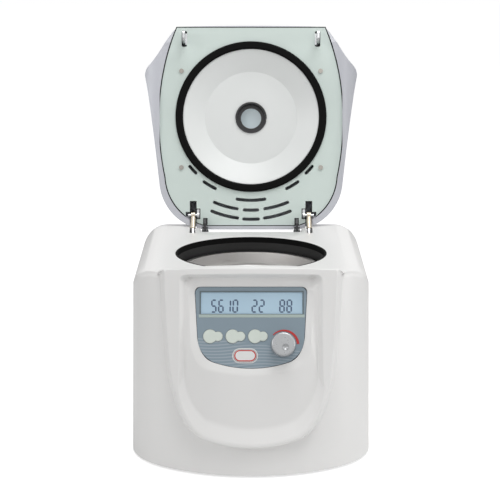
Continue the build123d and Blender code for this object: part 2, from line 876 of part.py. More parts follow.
with BuildPart() as start_key:
    with BuildSketch(panel.offset(flange_back)):
        with Locations((start_x, -start_row)):
            SlotOverall(start_length + 2 * key_flange, start_width + 2 * key_flange)
    extrude(amount=key_flange)
    with BuildSketch(panel.offset(flange_back + key_flange)):
        with Locations((start_x, -start_row)):
            SlotOverall(start_length, start_width)
    extrude(amount=panel_thickness + fit_gap + key_proud)
    chamfer(start_key.faces().sort_by(panel_axis)[-1].edges(), key_edge)
    with BuildSketch(panel.offset(flange_back)):
        with Locations((start_x, -start_row)):
            Circle(key_stem_radius)
    extrude(amount=stem_end - flange_back)
start_key.part.label = "start_key"
export_step(centred(start_key.part), "parts/start_key.step")

with BuildPart() as encoder:
    with BuildSketch(panel.offset(board_top)):
        with Locations((knob_x, -knob_row)):
            Rectangle(12, 12)
            Circle(encoder_shaft_radius + running_gap, mode=Mode.SUBTRACT)
    extrude(amount=module_depth - fit_gap)
    with BuildSketch(panel.offset(-panel_thickness - fit_gap)):
        with Locations((knob_x, -knob_row)):
            Circle(bush_radius)
            Circle(encoder_shaft_radius + running_gap, mode=Mode.SUBTRACT)
    extrude(amount=panel_thickness + fit_gap)
encoder.part.label = "encoder"
export_step(centred(encoder.part), "parts/encoder.step")

with BuildPart() as encoder_shaft:
    with BuildSketch(panel.offset(board_top + fit_gap)):
        with Locations((knob_x, -knob_row)):
            Circle(encoder_shaft_radius)
    extrude(amount=knob_height - 3 - board_top)
encoder_shaft.part.label = "encoder_shaft"
export_step(centred(encoder_shaft.part), "parts/encoder_shaft.step")

with BuildPart() as knob:
    with BuildSketch(panel.offset(2 * fit_gap)):
        with Locations((knob_x, -knob_row)):
            Circle(knob_radius)
    extrude(amount=knob_height, taper=3)
    fillet(knob.faces().sort_by(panel_axis)[-1].edges(), knob_edge)
    with Locations(panel.offset(2 * fit_gap + knob_height + 2.5).location):
        with Locations((knob_x + 2.5, -knob_row - 3.5)):
            Sphere(4.6, mode=Mode.SUBTRACT)
    with BuildSketch(panel):
        with Locations((knob_x, -knob_row)):
            Circle(encoder_shaft_radius + running_gap)
    extrude(amount=knob_height - 3 + 2 * fit_gap, mode=Mode.SUBTRACT)
knob.part.label = "knob"
export_step(centred(knob.part), "parts/knob.step")

with BuildPart() as knob_arc:
    with BuildSketch(panel):
        with Locations((knob_x + 1.0, -knob_row)):
            Circle(knob_radius + 3.2)
        with Locations((knob_x, -knob_row)):
            Circle(knob_radius + 1.3, mode=Mode.SUBTRACT)
        with Locations((knob_x, -knob_row)):
            Polygon((0, 0), (-16, 16), (-16, 30), (30, 30), (30, 2), align=None, mode=Mode.INTERSECT)
    extrude(amount=fit_gap)
knob_arc.part.label = "knob_arc"
export_step(centred(knob_arc.part), "parts/knob_arc.step")

# Lid, modelled shut: tapered shell cut to the shoulders, liner plate, gasket, dish and port
def rim_outline(grow):
    """Lid outline seen from above: bowed front, widest at the shoulders, rounded rear corners."""
    with BuildSketch(mode=Mode.PRIVATE) as outline:
        with BuildLine():
            ThreePointArc(
                (-rim_half_front - grow, 4 - rim_front - grow),
                (0, -rim_front - grow),
                (rim_half_front + grow, 4 - rim_front - grow),
            )
            Polyline(
                (rim_half_front + grow, 4 - rim_front - grow),
                (rim_half_width + grow, -rim_wide_y),
                (rim_half_rear + grow, rim_rear + grow),
                (-rim_half_rear - grow, rim_rear + grow),
                (-rim_half_width - grow, -rim_wide_y),
                (-rim_half_front - grow, 4 - rim_front - grow),
            )
        make_face()
        fillet(outline.vertices().group_by(Axis.Y)[-1], rim_rear_radius + grow)
        fillet(outline.vertices().group_by(Axis.X)[-1], rim_side_radius)
        fillet(outline.vertices().group_by(Axis.X)[0], rim_side_radius)
        fillet(outline.vertices().group_by(Axis.Y)[0], rim_front_radius)
    return outline.sketch


def plate_outline(grow):
    """Liner plate: straight front edge, bulging sides and round rear corners."""
    half_front = plate_half_front + grow
    half_wide = plate_half_width + grow
    half_rear = plate_half_rear
    front = -plate_front - grow
    rear = plate_rear + grow
    with BuildSketch(mode=Mode.PRIVATE) as outline:
        with BuildLine():
            Line((-half_front, front), (half_front, front))
            for side in (1, -1):
                ThreePointArc(
                    (side * half_front, front),
                    (side * (half_wide - 8), 0.6 * front),
                    (side * half_wide, 0),
                )
                ThreePointArc(
                    (side * half_wide, 0),
                    (side * (half_wide - 2), 0.3 * rear),
                    (side * (half_wide - 8), 0.56 * rear),
                )
                ThreePointArc(
                    (side * (half_wide - 8), 0.56 * rear),
                    (side * (half_wide - 24), 0.84 * rear),
                    (side * half_rear, rear),
                )
            Line((-half_rear, rear), (half_rear, rear))
        make_face()
    return outline.sketch


def swung_open(piece, label):
    """Turn a lid piece about the hinge pins from shut to its open stop."""
    opened = piece.rotate(hinge_axis, -lid_open)
    opened.label = label
    return opened


inner_top_z = lid_top_z - lid_wall
screw_places = [
    (side * screw_x, y) for side in (-1, 1) for y in (-screw_front, screw_rear)
]
boss_low_z = plate_z + plate_thickness
with BuildPart() as lid_shell:
    with BuildSketch(Plane.XY.offset(lid_low_z)):
        add(rim_outline(0))
    extrude(amount=lid_top_z - lid_low_z, taper=lid_taper)
    fillet(lid_shell.faces().sort_by(Axis.Z)[-1].edges(), lid_edge_radius)
    with BuildSketch(Plane.YZ.offset(-2 * rim_half_width)):
        Polygon(
            (-2 * rim_front, 0),
            (-2 * rim_front, bib_lip_z + lid_gap),
            (-bib_lip_y, bib_lip_z + lid_gap),
            (-rim_wide_y - 45, deck_z + 4),
            (-rim_wide_y + 20, lid_low_z),
            (-rim_wide_y + 20, 0),
            align=None,
        )
    extrude(amount=4 * rim_half_width, mode=Mode.SUBTRACT)
    add(body_form(lid_gap, 0), mode=Mode.SUBTRACT)
    add(bib_form(lid_gap), mode=Mode.SUBTRACT)
    with BuildSketch(Plane.XY.offset(deck_z)):
        add(plate_outline(plate_gap))
    extrude(amount=boss_low_z - deck_z, mode=Mode.SUBTRACT)
    with BuildSketch(Plane.XY.offset(boss_low_z)):
        add(plate_outline(-plate_gap))
    extrude(amount=inner_top_z - boss_low_z, taper=lid_taper + 4, mode=Mode.SUBTRACT)
    with BuildSketch(Plane.XY.offset(boss_low_z)):
        with Locations(*screw_places):
            Circle(boss_radius)
    extrude(amount=inner_top_z - boss_low_z + 1)
    with BuildSketch(Plane.XY.offset(plate_z)):
        Circle(port_radius + port_wall + fit_gap)
    extrude(amount=lid_top_z - plate_z + 1, mode=Mode.SUBTRACT)
    with BuildSketch(Plane.XY.offset(lid_low_z)):
        with Locations((-strut_x, plate_rear), (strut_x, plate_rear)):
            Rectangle(strut_slot_width + 1, 2 * strut_notch)
    extrude(amount=strut_pin_z + strut_eye_radius + 1 - lid_low_z, mode=Mode.SUBTRACT)
    with BuildSketch(Plane.XY.offset(boss_low_z)):
        with Locations(*screw_places):
            Circle(screw_shank_radius)
    extrude(amount=screw_length, mode=Mode.SUBTRACT)
export_step(centred(swung_open(lid_shell.part, "lid_shell")), "parts/lid_shell.step")

with BuildPart() as lid_plate:
    with BuildSketch(Plane.XY.offset(plate_z)):
        add(plate_outline(0))
        Circle(dish_rim_radius + fit_gap, mode=Mode.SUBTRACT)
        with Locations((-hook_x, -hook_y), (hook_x, -hook_y)):
            RectangleRounded(hook_slot_width, hook_slot_length - 2, 2, mode=Mode.SUBTRACT)
        with Locations(*screw_places):
            Circle(screw_shank_radius + fit_gap, mode=Mode.SUBTRACT)
        for side in (-1, 1):
            with Locations((side * strut_x, plate_rear)):
                Rectangle(strut_slot_width, 2 * strut_notch, mode=Mode.SUBTRACT)
            with Locations((side * (strut_x + pin_reach / 2), plate_rear)):
                Rectangle(pin_reach, 2 * (plate_rear - strut_pin_y + 4), mode=Mode.SUBTRACT)
            with Locations((side * (stud_plate_x + stud_plate / 2), strut_pin_y - 2)):
                Rectangle(stud_plate + 2, stud_plate_width + 1, mode=Mode.SUBTRACT)
            with Locations((side * arm_x, plate_rear)):
                Rectangle(arm_thickness + 2, 2 * arm_notch, mode=Mode.SUBTRACT)
        for radius, half_angle, slots in vent_rows:
            for mid_angle in slots:
                with Locations((0, vent_centre_y)):
                    with PolarLocations(0, 1, mid_angle):
                        SlotArc(
                            CenterArc((0, 0), radius, 90 - half_angle, 2 * half_angle),
                            vent_width,
                            mode=Mode.SUBTRACT,
                        )
    extrude(amount=plate_thickness)
export_step(centred(swung_open(lid_plate.part, "lid_plate")), "parts/lid_plate.step")

with BuildPart() as lid_gasket:
    with BuildSketch(Plane.XZ):
        with BuildLine():
            Polyline(
                (gasket_inner, plate_z),
                (gasket_outer, plate_z),
                (gasket_outer, plate_z - gasket_height / 2),
                (gasket_outer - 2, plate_z - gasket_height),
                (gasket_inner + 2, plate_z - gasket_height),
                (gasket_inner, plate_z - gasket_height / 2),
                close=True,
            )
        make_face()
    revolve(axis=Axis.Z)
export_step(centred(swung_open(lid_gasket.part, "lid_gasket")), "parts/lid_gasket.step")

dish_top_face_z = plate_z + lid_dish_depth
with BuildPart() as lid_dish:
    with BuildSketch(Plane.XZ):
        with BuildLine():
            Polyline(
                (port_radius + port_wall + fit_gap, dish_top_face_z),
                (dish_flat_radius, dish_top_face_z),
                (gasket_inner - 1, plate_z),
                (dish_rim_radius, plate_z),
                (dish_rim_radius, plate_z + dish_wall),
                (gasket_inner - 1, plate_z + dish_wall),
                (dish_flat_radius, dish_top_face_z + dish_wall),
                (port_radius + port_wall + fit_gap, dish_top_face_z + dish_wall),
                close=True,
            )
        make_face()
    revolve(axis=Axis.Z)
export_step(centred(swung_open(lid_dish.part, "lid_dish")), "parts/lid_dish.step")

glass_z = dish_top_face_z + port_depth
with BuildPart() as port_tube:
    with BuildSketch(Plane.XZ):
        with BuildLine():
            Polyline(
                (port_radius, dish_top_face_z - dish_wall),
                (port_radius + port_wall, dish_top_face_z - dish_wall),
                (port_radius + port_wall, lid_top_z + port_wall / 2),
                (port_radius, lid_top_z + port_wall / 2),
                (port_radius, glass_z),
                (glass_radius, glass_z),
                (glass_radius, glass_z - port_wall),
                (port_radius, glass_z - port_wall),
                close=True,
            )
        make_face()
    revolve(axis=Axis.Z)
export_step(centred(swung_open(port_tube.part, "port_tube")), "parts/port_tube.step")

with BuildPart() as port_glass:
    with BuildSketch(Plane.XY.offset(glass_z)):
        Circle(port_radius - fit_gap)
    extrude(amount=lid_top_z - glass_z)
export_step(centred(swung_open(port_glass.part, "port_glass")), "parts/port_glass.step")

# Steel strikers with windows for the latch pins, bent over and fixed above the plate
with BuildPart() as lid_hooks:
    for side in (-1, 1):
        with BuildSketch(Plane.YZ.offset(side * hook_x - hook_thickness / 2)):
            with Locations((-hook_y, (hook_tip_z + boss_low_z + hook_thickness) / 2)):
                hook_face = Rectangle(hook_width, boss_low_z + hook_thickness - hook_tip_z)
            fillet(hook_face.vertices().group_by(Axis.Z)[0], hook_width / 3)
            with Locations((-hook_y, latch_z)):
                SlotOverall(3.4 * latch_pin_radius, 2.8 * latch_pin_radius, mode=Mode.SUBTRACT)
        extrude(amount=hook_thickness)
        with BuildSketch(Plane.XY.offset(boss_low_z)):
            with Locations((side * (hook_x - 6.5), -hook_y)):
                Rectangle(13, hook_width)
        extrude(amount=hook_thickness)
export_step(centred(swung_open(lid_hooks.part, "lid_hooks")), "parts/lid_hooks.step")

with BuildPart() as plate_screws:
    for place in screw_places:
        with BuildSketch(Plane.XY.offset(plate_z - screw_head_height)):
            with Locations(place):
                Circle(screw_radius)
        extrude(amount=screw_head_height)
        with BuildSketch(Plane.XY.offset(plate_z)):
            with Locations(place):
                Circle(screw_shank_radius - running_gap)
        extrude(amount=screw_length)
export_step(centred(swung_open(plate_screws.part, "plate_screws")), "parts/plate_screws.step")

# Gooseneck hinge arms: an eye on the pin, a neck up through the plate and a foot on top of it
arm_top_y = plate_rear - 1.2 - 0.45 * arm_rise
with BuildPart() as hinge_arms:
    for side in (-1, 1):
        with BuildSketch(Plane.YZ.offset(side * arm_x - arm_thickness / 2)):
            with Locations((hinge_y, hinge_z)):
                Circle(arm_eye_radius)
            Polygon(
                (hinge_y, hinge_z - arm_eye_radius),
                (hinge_y, hinge_z + arm_eye_radius),
                (plate_rear - 1.2, hinge_z + arm_eye_radius),
                (plate_rear - 1.2, boss_low_z - 1),
                (arm_top_y, boss_low_z + arm_rise),
                (plate_rear - arm_notch + 1, boss_low_z + arm_rise),
                (plate_rear - arm_notch + 1, hinge_z),
                (plate_rear - 2, hinge_z - arm_eye_radius),
                align=None,
            )
            with Locations((hinge_y, hinge_z)):
                Circle(hinge_pin_radius + running_gap, mode=Mode.SUBTRACT)
        extrude(amount=arm_thickness)
        with BuildSketch(Plane.XY.offset(boss_low_z)):
            with Locations((side * (arm_x - arm_foot / 2), plate_rear - arm_notch - arm_foot / 2 + 2)):
                Rectangle(arm_foot + arm_thickness, arm_foot)
        extrude(amount=arm_thickness)
        with BuildSketch(Plane.YZ.offset(side * arm_x - arm_thickness / 2)):
            Polygon(
                (plate_rear - arm_notch - arm_foot + 2, boss_low_z),
                (arm_top_y, boss_low_z),
                (arm_top_y, boss_low_z + arm_rise),
                (plate_rear - arm_notch - arm_foot + 2, boss_low_z + arm_thickness),
                align=None,
            )
        extrude(amount=arm_thickness)
export_step(centred(swung_open(hinge_arms.part, "hinge_arms")), "parts/hinge_arms.step")

# Fixed hinge forks on the floor of the well, with the pins riveted through them
ear_inner = arm_thickness / 2 + fit_gap
with BuildPart() as hinge_forks:
    for side in (-1, 1):
        for ear in (-ear_inner - ear_thickness, ear_inner):
            with BuildSketch(Plane.YZ.offset(side * arm_x + ear)):
                with Locations((hinge_y, hinge_z)):
                    Circle(arm_eye_radius)
                Polygon(
                    (hinge_y - arm_eye_radius, hinge_z),
                    (hinge_y + arm_eye_radius, hinge_z),
                    (hinge_y + arm_eye_radius + 2, well_floor_z),
                    (hinge_y - arm_eye_radius, well_floor_z),
                    align=None,
                )
                with Locations((hinge_y, hinge_z)):
                    Circle(hinge_pin_radius + running_gap, mode=Mode.SUBTRACT)
            extrude(amount=ear_thickness)
        with BuildSketch(Plane.XY.offset(well_floor_z)):
            with Locations((side * arm_x, hinge_y + arm_eye_radius)):
                Rectangle(2 * (ear_inner + ear_thickness), 2 * arm_eye_radius)
        extrude(amount=fork_foot_height)
hinge_forks.part.label = "hinge_forks"
export_step(centred(hinge_forks.part), "parts/hinge_forks.step")

pin_half = ear_inner + ear_thickness + 1
with BuildPart() as hinge_pins:
    for side in (-1, 1):
        with BuildSketch(Plane.YZ.offset(side * arm_x - pin_half)):
            with Locations((hinge_y, hinge_z)):
                Circle(hinge_pin_radius)
        extrude(amount=2 * pin_half)
hinge_pins.part.label = "hinge_pins"
export_step(centred(hinge_pins.part), "parts/hinge_pins.step")

# Strut pins: studs held by small plates that stand in the liner plate beside the strut notches
with BuildPart() as strut_studs:
    for side in (-1, 1):
        near = min(side * stud_plate_x, side * (strut_x + pin_reach - stud_inset))
        with BuildSketch(Plane.YZ.offset(near)):
            with Locations((strut_pin_y, strut_pin_z)):
                Circle(strut_pin_radius)
        extrude(amount=strut_x + pin_reach - stud_inset - stud_plate_x)
        near = min(side * stud_plate_x, side * (stud_plate_x + stud_plate))
        with BuildSketch(Plane.YZ.offset(near)):
            with Locations((strut_pin_y, strut_pin_z)):
                Circle(2 * strut_pin_radius)
            with Locations((strut_pin_y - 2, strut_pin_z + 3)):
                Rectangle(stud_plate_width, 6)
        extrude(amount=stud_plate)
        with BuildSketch(Plane.XY.offset(boss_low_z)):
            with Locations((side * (stud_plate_x + stud_plate / 2 - 3), strut_pin_y - stud_foot_back)):
                Rectangle(stud_plate + 6, stud_plate_width + 4)
        extrude(amount=stud_foot_height)
export_step(centred(swung_open(strut_studs.part, "strut_studs")), "parts/strut_studs.step")

# Gas struts in their open position: zinc-plated end, chrome rod, black cylinder with a foot pin
turn = radians(-lid_open)
pin_dy = strut_pin_y - hinge_y
pin_dz = strut_pin_z - hinge_z
open_pin_y = hinge_y + pin_dy * cos(turn) - pin_dz * sin(turn)
open_pin_z = hinge_z + pin_dy * sin(turn) + pin_dz * cos(turn)
strut_lean = atan2(open_pin_y - strut_foot_y, open_pin_z - strut_foot_z)

for side, name in ((-1, "left"), (1, "right")):
    down = Plane(
        origin=(side * strut_x, open_pin_y, open_pin_z),
        x_dir=(1, 0, 0),
        z_dir=(0, -sin(strut_lean), -cos(strut_lean)),
    )
    up = Plane(
        origin=(side * strut_x, strut_foot_y, strut_foot_z),
        x_dir=(1, 0, 0),
        z_dir=(0, sin(strut_lean), cos(strut_lean)),
    )
    with BuildPart() as strut_end:
        with BuildSketch(Plane.YZ.offset(side * strut_x - strut_rod_radius)):
            with Locations((open_pin_y, open_pin_z)):
                Circle(strut_eye_radius)
        extrude(amount=2 * strut_rod_radius)
        with BuildSketch(down.offset(strut_eye_radius - 1)):
            Circle(strut_end_radius)
        extrude(amount=strut_end_length - strut_eye_radius + 1)
        with BuildSketch(down.offset(strut_end_length / 2)):
            Circle(strut_rod_radius + running_gap)
        extrude(amount=strut_end_length, mode=Mode.SUBTRACT)
        with BuildSketch(Plane.YZ.offset(side * strut_x - strut_x / 4)):
            with Locations((open_pin_y, open_pin_z)):
                Circle(strut_pin_radius + running_gap)
        extrude(amount=strut_x / 2, mode=Mode.SUBTRACT)
    strut_end.part.label = f"strut_end_{name}"
    export_step(centred(strut_end.part), f"parts/strut_end_{name}.step")

    with BuildPart() as strut_rod:
        with BuildSketch(down.offset(strut_end_length / 2)):
            Circle(strut_rod_radius)
        extrude(amount=strut_rod_reach - strut_end_length / 2)
    strut_rod.part.label = f"strut_rod_{name}"
    export_step(centred(strut_rod.part), f"parts/strut_rod_{name}.step")

    with BuildPart() as strut_cylinder:
        with BuildSketch(up.offset(strut_body_low)):
            Circle(strut_body_radius)
        extrude(amount=strut_body_top - strut_body_low)
        chamfer(strut_cylinder.edges().filter_by(GeomType.CIRCLE), 1)
        with BuildSketch(up.offset(strut_body_low + 2)):
            Circle(strut_body_radius - strut_tube_wall)
        extrude(amount=strut_body_top - strut_seal_height - strut_body_low - 2, mode=Mode.SUBTRACT)
        with BuildSketch(up.offset(strut_body_low + 2)):
            Circle(strut_rod_radius + running_gap)
        extrude(amount=strut_body_top, mode=Mode.SUBTRACT)
        with BuildSketch(Plane.YZ.offset(side * strut_x - strut_foot_width / 2)):
            with Locations((strut_foot_y, strut_foot_z)):
                Circle(strut_foot_radius)
        extrude(amount=strut_foot_width)
        with BuildSketch(up):
            Rectangle(strut_foot_width, strut_foot_width)
        extrude(amount=strut_body_low + 1)
        with BuildSketch(Plane.YZ.offset(side * strut_x - strut_foot_width)):
            with Locations((strut_foot_y, strut_foot_z)):
                Circle(strut_pin_radius)
        extrude(amount=2 * strut_foot_width)
    strut_cylinder.part.label = f"strut_cylinder_{name}"
    export_step(centred(strut_cylinder.part), f"parts/strut_cylinder_{name}.step")

# Channel posts that carry the strut feet in open-topped slots
post_half = strut_foot_width / 2 + fit_gap + post_wall
with BuildPart() as strut_posts:
    for side in (-1, 1):
        with BuildSketch(Plane.XY.offset(base_top_z)):
            with Locations((side * strut_x, strut_foot_y)):
                Rectangle(2 * post_half, post_depth)
                Rectangle(2 * (post_half - post_wall), post_depth, mode=Mode.SUBTRACT)
            with Locations((side * strut_x, strut_foot_y - post_depth / 2 - post_wall / 2)):
                Rectangle(2 * post_half, post_wall)
        extrude(amount=post_top_z - base_top_z)
        with BuildSketch(Plane.XY.offset(base_top_z)):
            with Locations((side * strut_x, strut_foot_y)):
                Rectangle(3 * post_half, 1.5 * post_depth)
        extrude(amount=post_wall)
        with BuildSketch(Plane.YZ.offset(side * strut_x - 2 * post_half)):
            with Locations((strut_foot_y, strut_foot_z - strut_pin_radius - fit_gap)):
                Rectangle(post_slot_width, post_depth, align=(Align.CENTER, Align.MIN))
        extrude(amount=4 * post_half, mode=Mode.SUBTRACT)
strut_posts.part.label = "strut_posts"
export_step(centred(strut_posts.part), "parts/strut_posts.step")

# Latch: a bar that slides its two pins through the hook windows, its rail and its drive box
bar_low_z = hook_tip_z - latch_bar_height - 2
bar_shift = (hook_thickness + latch_lug_thickness) / 2 + latch_pin_gap + latch_pin_length
with BuildPart() as latch_bar:
    with Locations((-bar_shift, -latch_bar_y, bar_low_z)):
        Box(
            2 * hook_x + latch_lug_thickness,
            latch_bar_depth,
            latch_bar_height,
            align=(Align.CENTER, Align.CENTER, Align.MIN),
        )
    for side in (-1, 1):
        lug_x = side * hook_x - hook_thickness / 2 - latch_pin_gap - latch_pin_length
        with Locations((lug_x, -latch_bar_y, bar_low_z)):
            Box(
                latch_lug_thickness,
                latch_bar_depth,
                latch_z + 2 * latch_pin_radius - bar_low_z,
                align=(Align.MAX, Align.CENTER, Align.MIN),
            )
        with BuildSketch(Plane.YZ.offset(lug_x)):
            with Locations((-latch_bar_y, latch_z)):
                Circle(latch_pin_radius)
        extrude(amount=latch_pin_length)
    with BuildSketch(Plane.XY.offset(bar_low_z)):
        with Locations((0, -latch_bar_y)):
            Circle(latch_peg_radius)
    extrude(amount=-latch_peg_length)
latch_bar.part.label = "latch_bar"
export_step(centred(latch_bar.part), "parts/latch_bar.step")

rail_top_z = bar_low_z - fit_gap
with BuildPart() as latch_rail:
    with Locations((0, -latch_bar_y, rail_top_z)):
        Box(
            2 * rail_half_length,
            latch_bar_depth + 4,
            rail_wall,
            align=(Align.CENTER, Align.CENTER, Align.MAX),
        )
    for side in (-1, 1):
        with Locations((side * rail_half_length, -latch_bar_y, rail_top_z - rail_wall)):
            Box(
                rail_wall,
                latch_bar_depth + 4,
                deck_z - wall - rail_top_z + rail_wall,
                align=(Align.CENTER, Align.CENTER, Align.MIN),
            )
    with Locations((0, -latch_bar_y, bar_low_z + latch_bar_height / 2)):
        Box(
            4 * rail_half_length,
            latch_bar_depth + 2 * fit_gap,
            latch_bar_height + 2 * fit_gap,
            mode=Mode.SUBTRACT,
        )
    with BuildSketch(Plane.XY.offset(rail_top_z)):
        with Locations((latch_travel / 2, -latch_bar_y)):
            SlotOverall(latch_travel + 2 * latch_peg_radius + 1, 2 * latch_peg_radius + 1)
    extrude(amount=-rail_wall, mode=Mode.SUBTRACT)
latch_rail.part.label = "latch_rail"
export_step(centred(latch_rail.part), "parts/latch_rail.step")

with BuildPart() as latch_motor:
    with Locations((0, -latch_bar_y - 3, rail_top_z - rail_wall)):
        Box(*drive_box, align=(Align.CENTER, Align.CENTER, Align.MAX))
    with BuildSketch(Plane.XY.offset(rail_top_z - rail_wall)):
        with Locations((latch_travel / 2, -latch_bar_y)):
            SlotOverall(latch_travel + 2 * latch_peg_radius + 1, 2 * latch_peg_radius + 1)
    extrude(amount=-latch_peg_length, mode=Mode.SUBTRACT)
latch_motor.part.label = "latch_motor"
export_step(centred(latch_motor.part), "parts/latch_motor.step")

# Base plate and rubber feet
with BuildPart() as base_plate:
    with Locations((0, 0, foot_height)):
        Box(
            2 * body_front,
            2 * body_front,
            base_thickness,
            align=(Align.CENTER, Align.CENTER, Align.MIN),
        )
    add(body_form(-wall - fit_gap, 0), mode=Mode.INTERSECT)
    add(apron_form(panel_thickness + wall + fit_gap), mode=Mode.INTERSECT)
    with BuildSketch(Plane.XY.offset(foot_height)):
        with Locations(*foot_places):
            Circle(screw_shank_radius + fit_gap)
        with Locations((0, -body_front / 2 - 30)):
            with GridLocations(12, 0, 9, 1):
                SlotOverall(34, 4, rotation=90)
    extrude(amount=base_thickness, mode=Mode.SUBTRACT)
base_plate.part.label = "base_plate"
export_step(centred(base_plate.part), "parts/base_plate.step")

with BuildPart() as feet:
    with BuildSketch():
        with Locations(*foot_places):
            Circle(foot_radius)
    extrude(amount=foot_height)
    chamfer(feet.edges().filter_by(GeomType.CIRCLE).group_by(Axis.Z)[0], 1)
    with BuildSketch():
        with Locations(*foot_places):
            Circle(screw_radius + 1)
    extrude(amount=foot_height / 2, mode=Mode.SUBTRACT)
    with BuildSketch():
        with Locations(*foot_places):
            Circle(screw_shank_radius + running_gap)
    extrude(amount=foot_height, mode=Mode.SUBTRACT)
feet.part.label = "feet"
export_step(centred(feet.part), "parts/feet.step")

with BuildPart() as foot_screws:
    with BuildSketch(Plane.XY.offset(foot_height / 2 - 1.5)):
        with Locations(*foot_places):
            Circle(screw_radius)
    extrude(amount=1.5)
    with BuildSketch(Plane.XY.offset(foot_height / 2)):
        with Locations(*foot_places):
            Circle(screw_shank_radius)
    extrude(amount=foot_height / 2 + base_thickness + 2)
foot_screws.part.label = "foot_screws"
export_step(centred(foot_screws.part), "parts/foot_screws.step")

# Rear: louvred panel, mains inlet with its fuse drawer, and the rocker switch
panel_back = rear_plane.offset(-rear_panel_thickness)
rear_screw_places = [
    (side * (rear_panel_width / 2 - 6), rear_panel_mid_z + level * (rear_panel_height / 2 - 6))
    for side in (-1, 1)
    for level in (-1, 1)
]
with BuildPart() as rear_panel:
    with BuildSketch(panel_back):
        with Locations((0, rear_panel_mid_z)):
            Rectangle(rear_panel_width, rear_panel_height)
        with Locations((-inlet_x, inlet_z)):
            Rectangle(inlet_body_width + 2 * fit_gap, inlet_body_height + 2 * fit_gap, mode=Mode.SUBTRACT)
        with Locations((-switch_x, switch_z)):
            Rectangle(switch_width + 2 * fit_gap, switch_frame_height + 2 * fit_gap, mode=Mode.SUBTRACT)
        with Locations((-louvre_x, rear_panel_mid_z)):
            with GridLocations(louvre_length + 8, louvre_pitch, 2, louvre_rows):
                SlotOverall(louvre_length, louvre_height, mode=Mode.SUBTRACT)
        with Locations(*rear_screw_places):
            Circle(screw_shank_radius + fit_gap, mode=Mode.SUBTRACT)
    extrude(amount=rear_panel_thickness)
rear_panel.part.label = "rear_panel"
export_step(centred(rear_panel.part), "parts/rear_panel.step")

with BuildPart() as rear_screws:
    with BuildSketch(rear_plane):
        with Locations(*rear_screw_places):
            Circle(screw_radius)
    extrude(amount=screw_head_height)
    with BuildSketch(rear_plane):
        with Locations(*rear_screw_places):
            Circle(screw_shank_radius)
    extrude(amount=-rear_panel_thickness)
rear_screws.part.label = "rear_screws"
export_step(centred(rear_screws.part), "parts/rear_screws.step")

cavity_z = inlet_z + 5
with BuildPart() as mains_inlet:
    with BuildSketch(rear_plane):
        with Locations((-inlet_x, inlet_z)):
            RectangleRounded(inlet_body_width + 12, inlet_body_height + 5, 3)
    extrude(amount=inlet_flange)
    with BuildSketch(rear_plane):
        with Locations((-inlet_x, inlet_z)):
            Rectangle(inlet_body_width, inlet_body_height)
    extrude(amount=-inlet_body_depth)
    with BuildSketch(rear_plane.offset(inlet_flange - socket_depth)):
        with Locations((-inlet_x, cavity_z)):
            cavity = Rectangle(socket_width, socket_height)
        chamfer(cavity.vertices().group_by(Axis.Y)[-1], 4.5)
    extrude(amount=socket_depth, mode=Mode.SUBTRACT)
    with BuildSketch(rear_plane.offset(inlet_flange - drawer_depth)):
        with Locations((-inlet_x, inlet_z - 10)):
            Rectangle(drawer_width + 2 * running_gap, drawer_height + 2 * running_gap)
    extrude(amount=drawer_depth, mode=Mode.SUBTRACT)
mains_inlet.part.label = "mains_inlet"
export_step(centred(mains_inlet.part), "parts/mains_inlet.step")

with BuildPart() as inlet_pins:
    with BuildSketch(rear_plane.offset(inlet_flange - socket_depth)):
        with Locations((-inlet_x - 7, cavity_z - 2), (-inlet_x + 7, cavity_z - 2), (-inlet_x, cavity_z + 2)):
            Rectangle(2, 4)
    extrude(amount=socket_depth - pin_recess)
inlet_pins.part.label = "inlet_pins"
export_step(centred(inlet_pins.part), "parts/inlet_pins.step")

with BuildPart() as fuse_drawer:
    with BuildSketch(rear_plane.offset(inlet_flange - drawer_depth)):
        with Locations((-inlet_x, inlet_z - 10)):
            Rectangle(drawer_width, drawer_height)
    extrude(amount=drawer_depth + 0.5)
    with BuildSketch(rear_plane.offset(inlet_flange - 1)):
        with Locations((-inlet_x, inlet_z - 10)):
            SlotOverall(8, 2.4)
    extrude(amount=2, mode=Mode.SUBTRACT)
fuse_drawer.part.label = "fuse_drawer"
export_step(centred(fuse_drawer.part), "parts/fuse_drawer.step")

with BuildPart() as switch_frame:
    with BuildSketch(rear_plane):
        with Locations((-switch_x, switch_z)):
            RectangleRounded(switch_width + 4, switch_frame_height + 4, 2)
    extrude(amount=inlet_flange)
    with BuildSketch(rear_plane):
        with Locations((-switch_x, switch_z)):
            Rectangle(switch_width, switch_frame_height)
    extrude(amount=-switch_body_depth)
    with BuildSketch(rear_plane.offset(2 - switch_body_depth)):
        with Locations((-switch_x, switch_z)):
            Rectangle(rocker_width + 2 * fit_gap, rocker_height + 1.4)
    extrude(amount=2 * switch_body_depth, mode=Mode.SUBTRACT)
    with BuildSketch(Plane.YZ.offset(switch_x - rocker_width / 2 - rocker_pin_length)):
        with Locations((rocker_y, switch_z)):
            Circle(rocker_pin_radius + running_gap)
    extrude(amount=rocker_width + 2 * rocker_pin_length, mode=Mode.SUBTRACT)
switch_frame.part.label = "switch_frame"
export_step(centred(switch_frame.part), "parts/switch_frame.step")

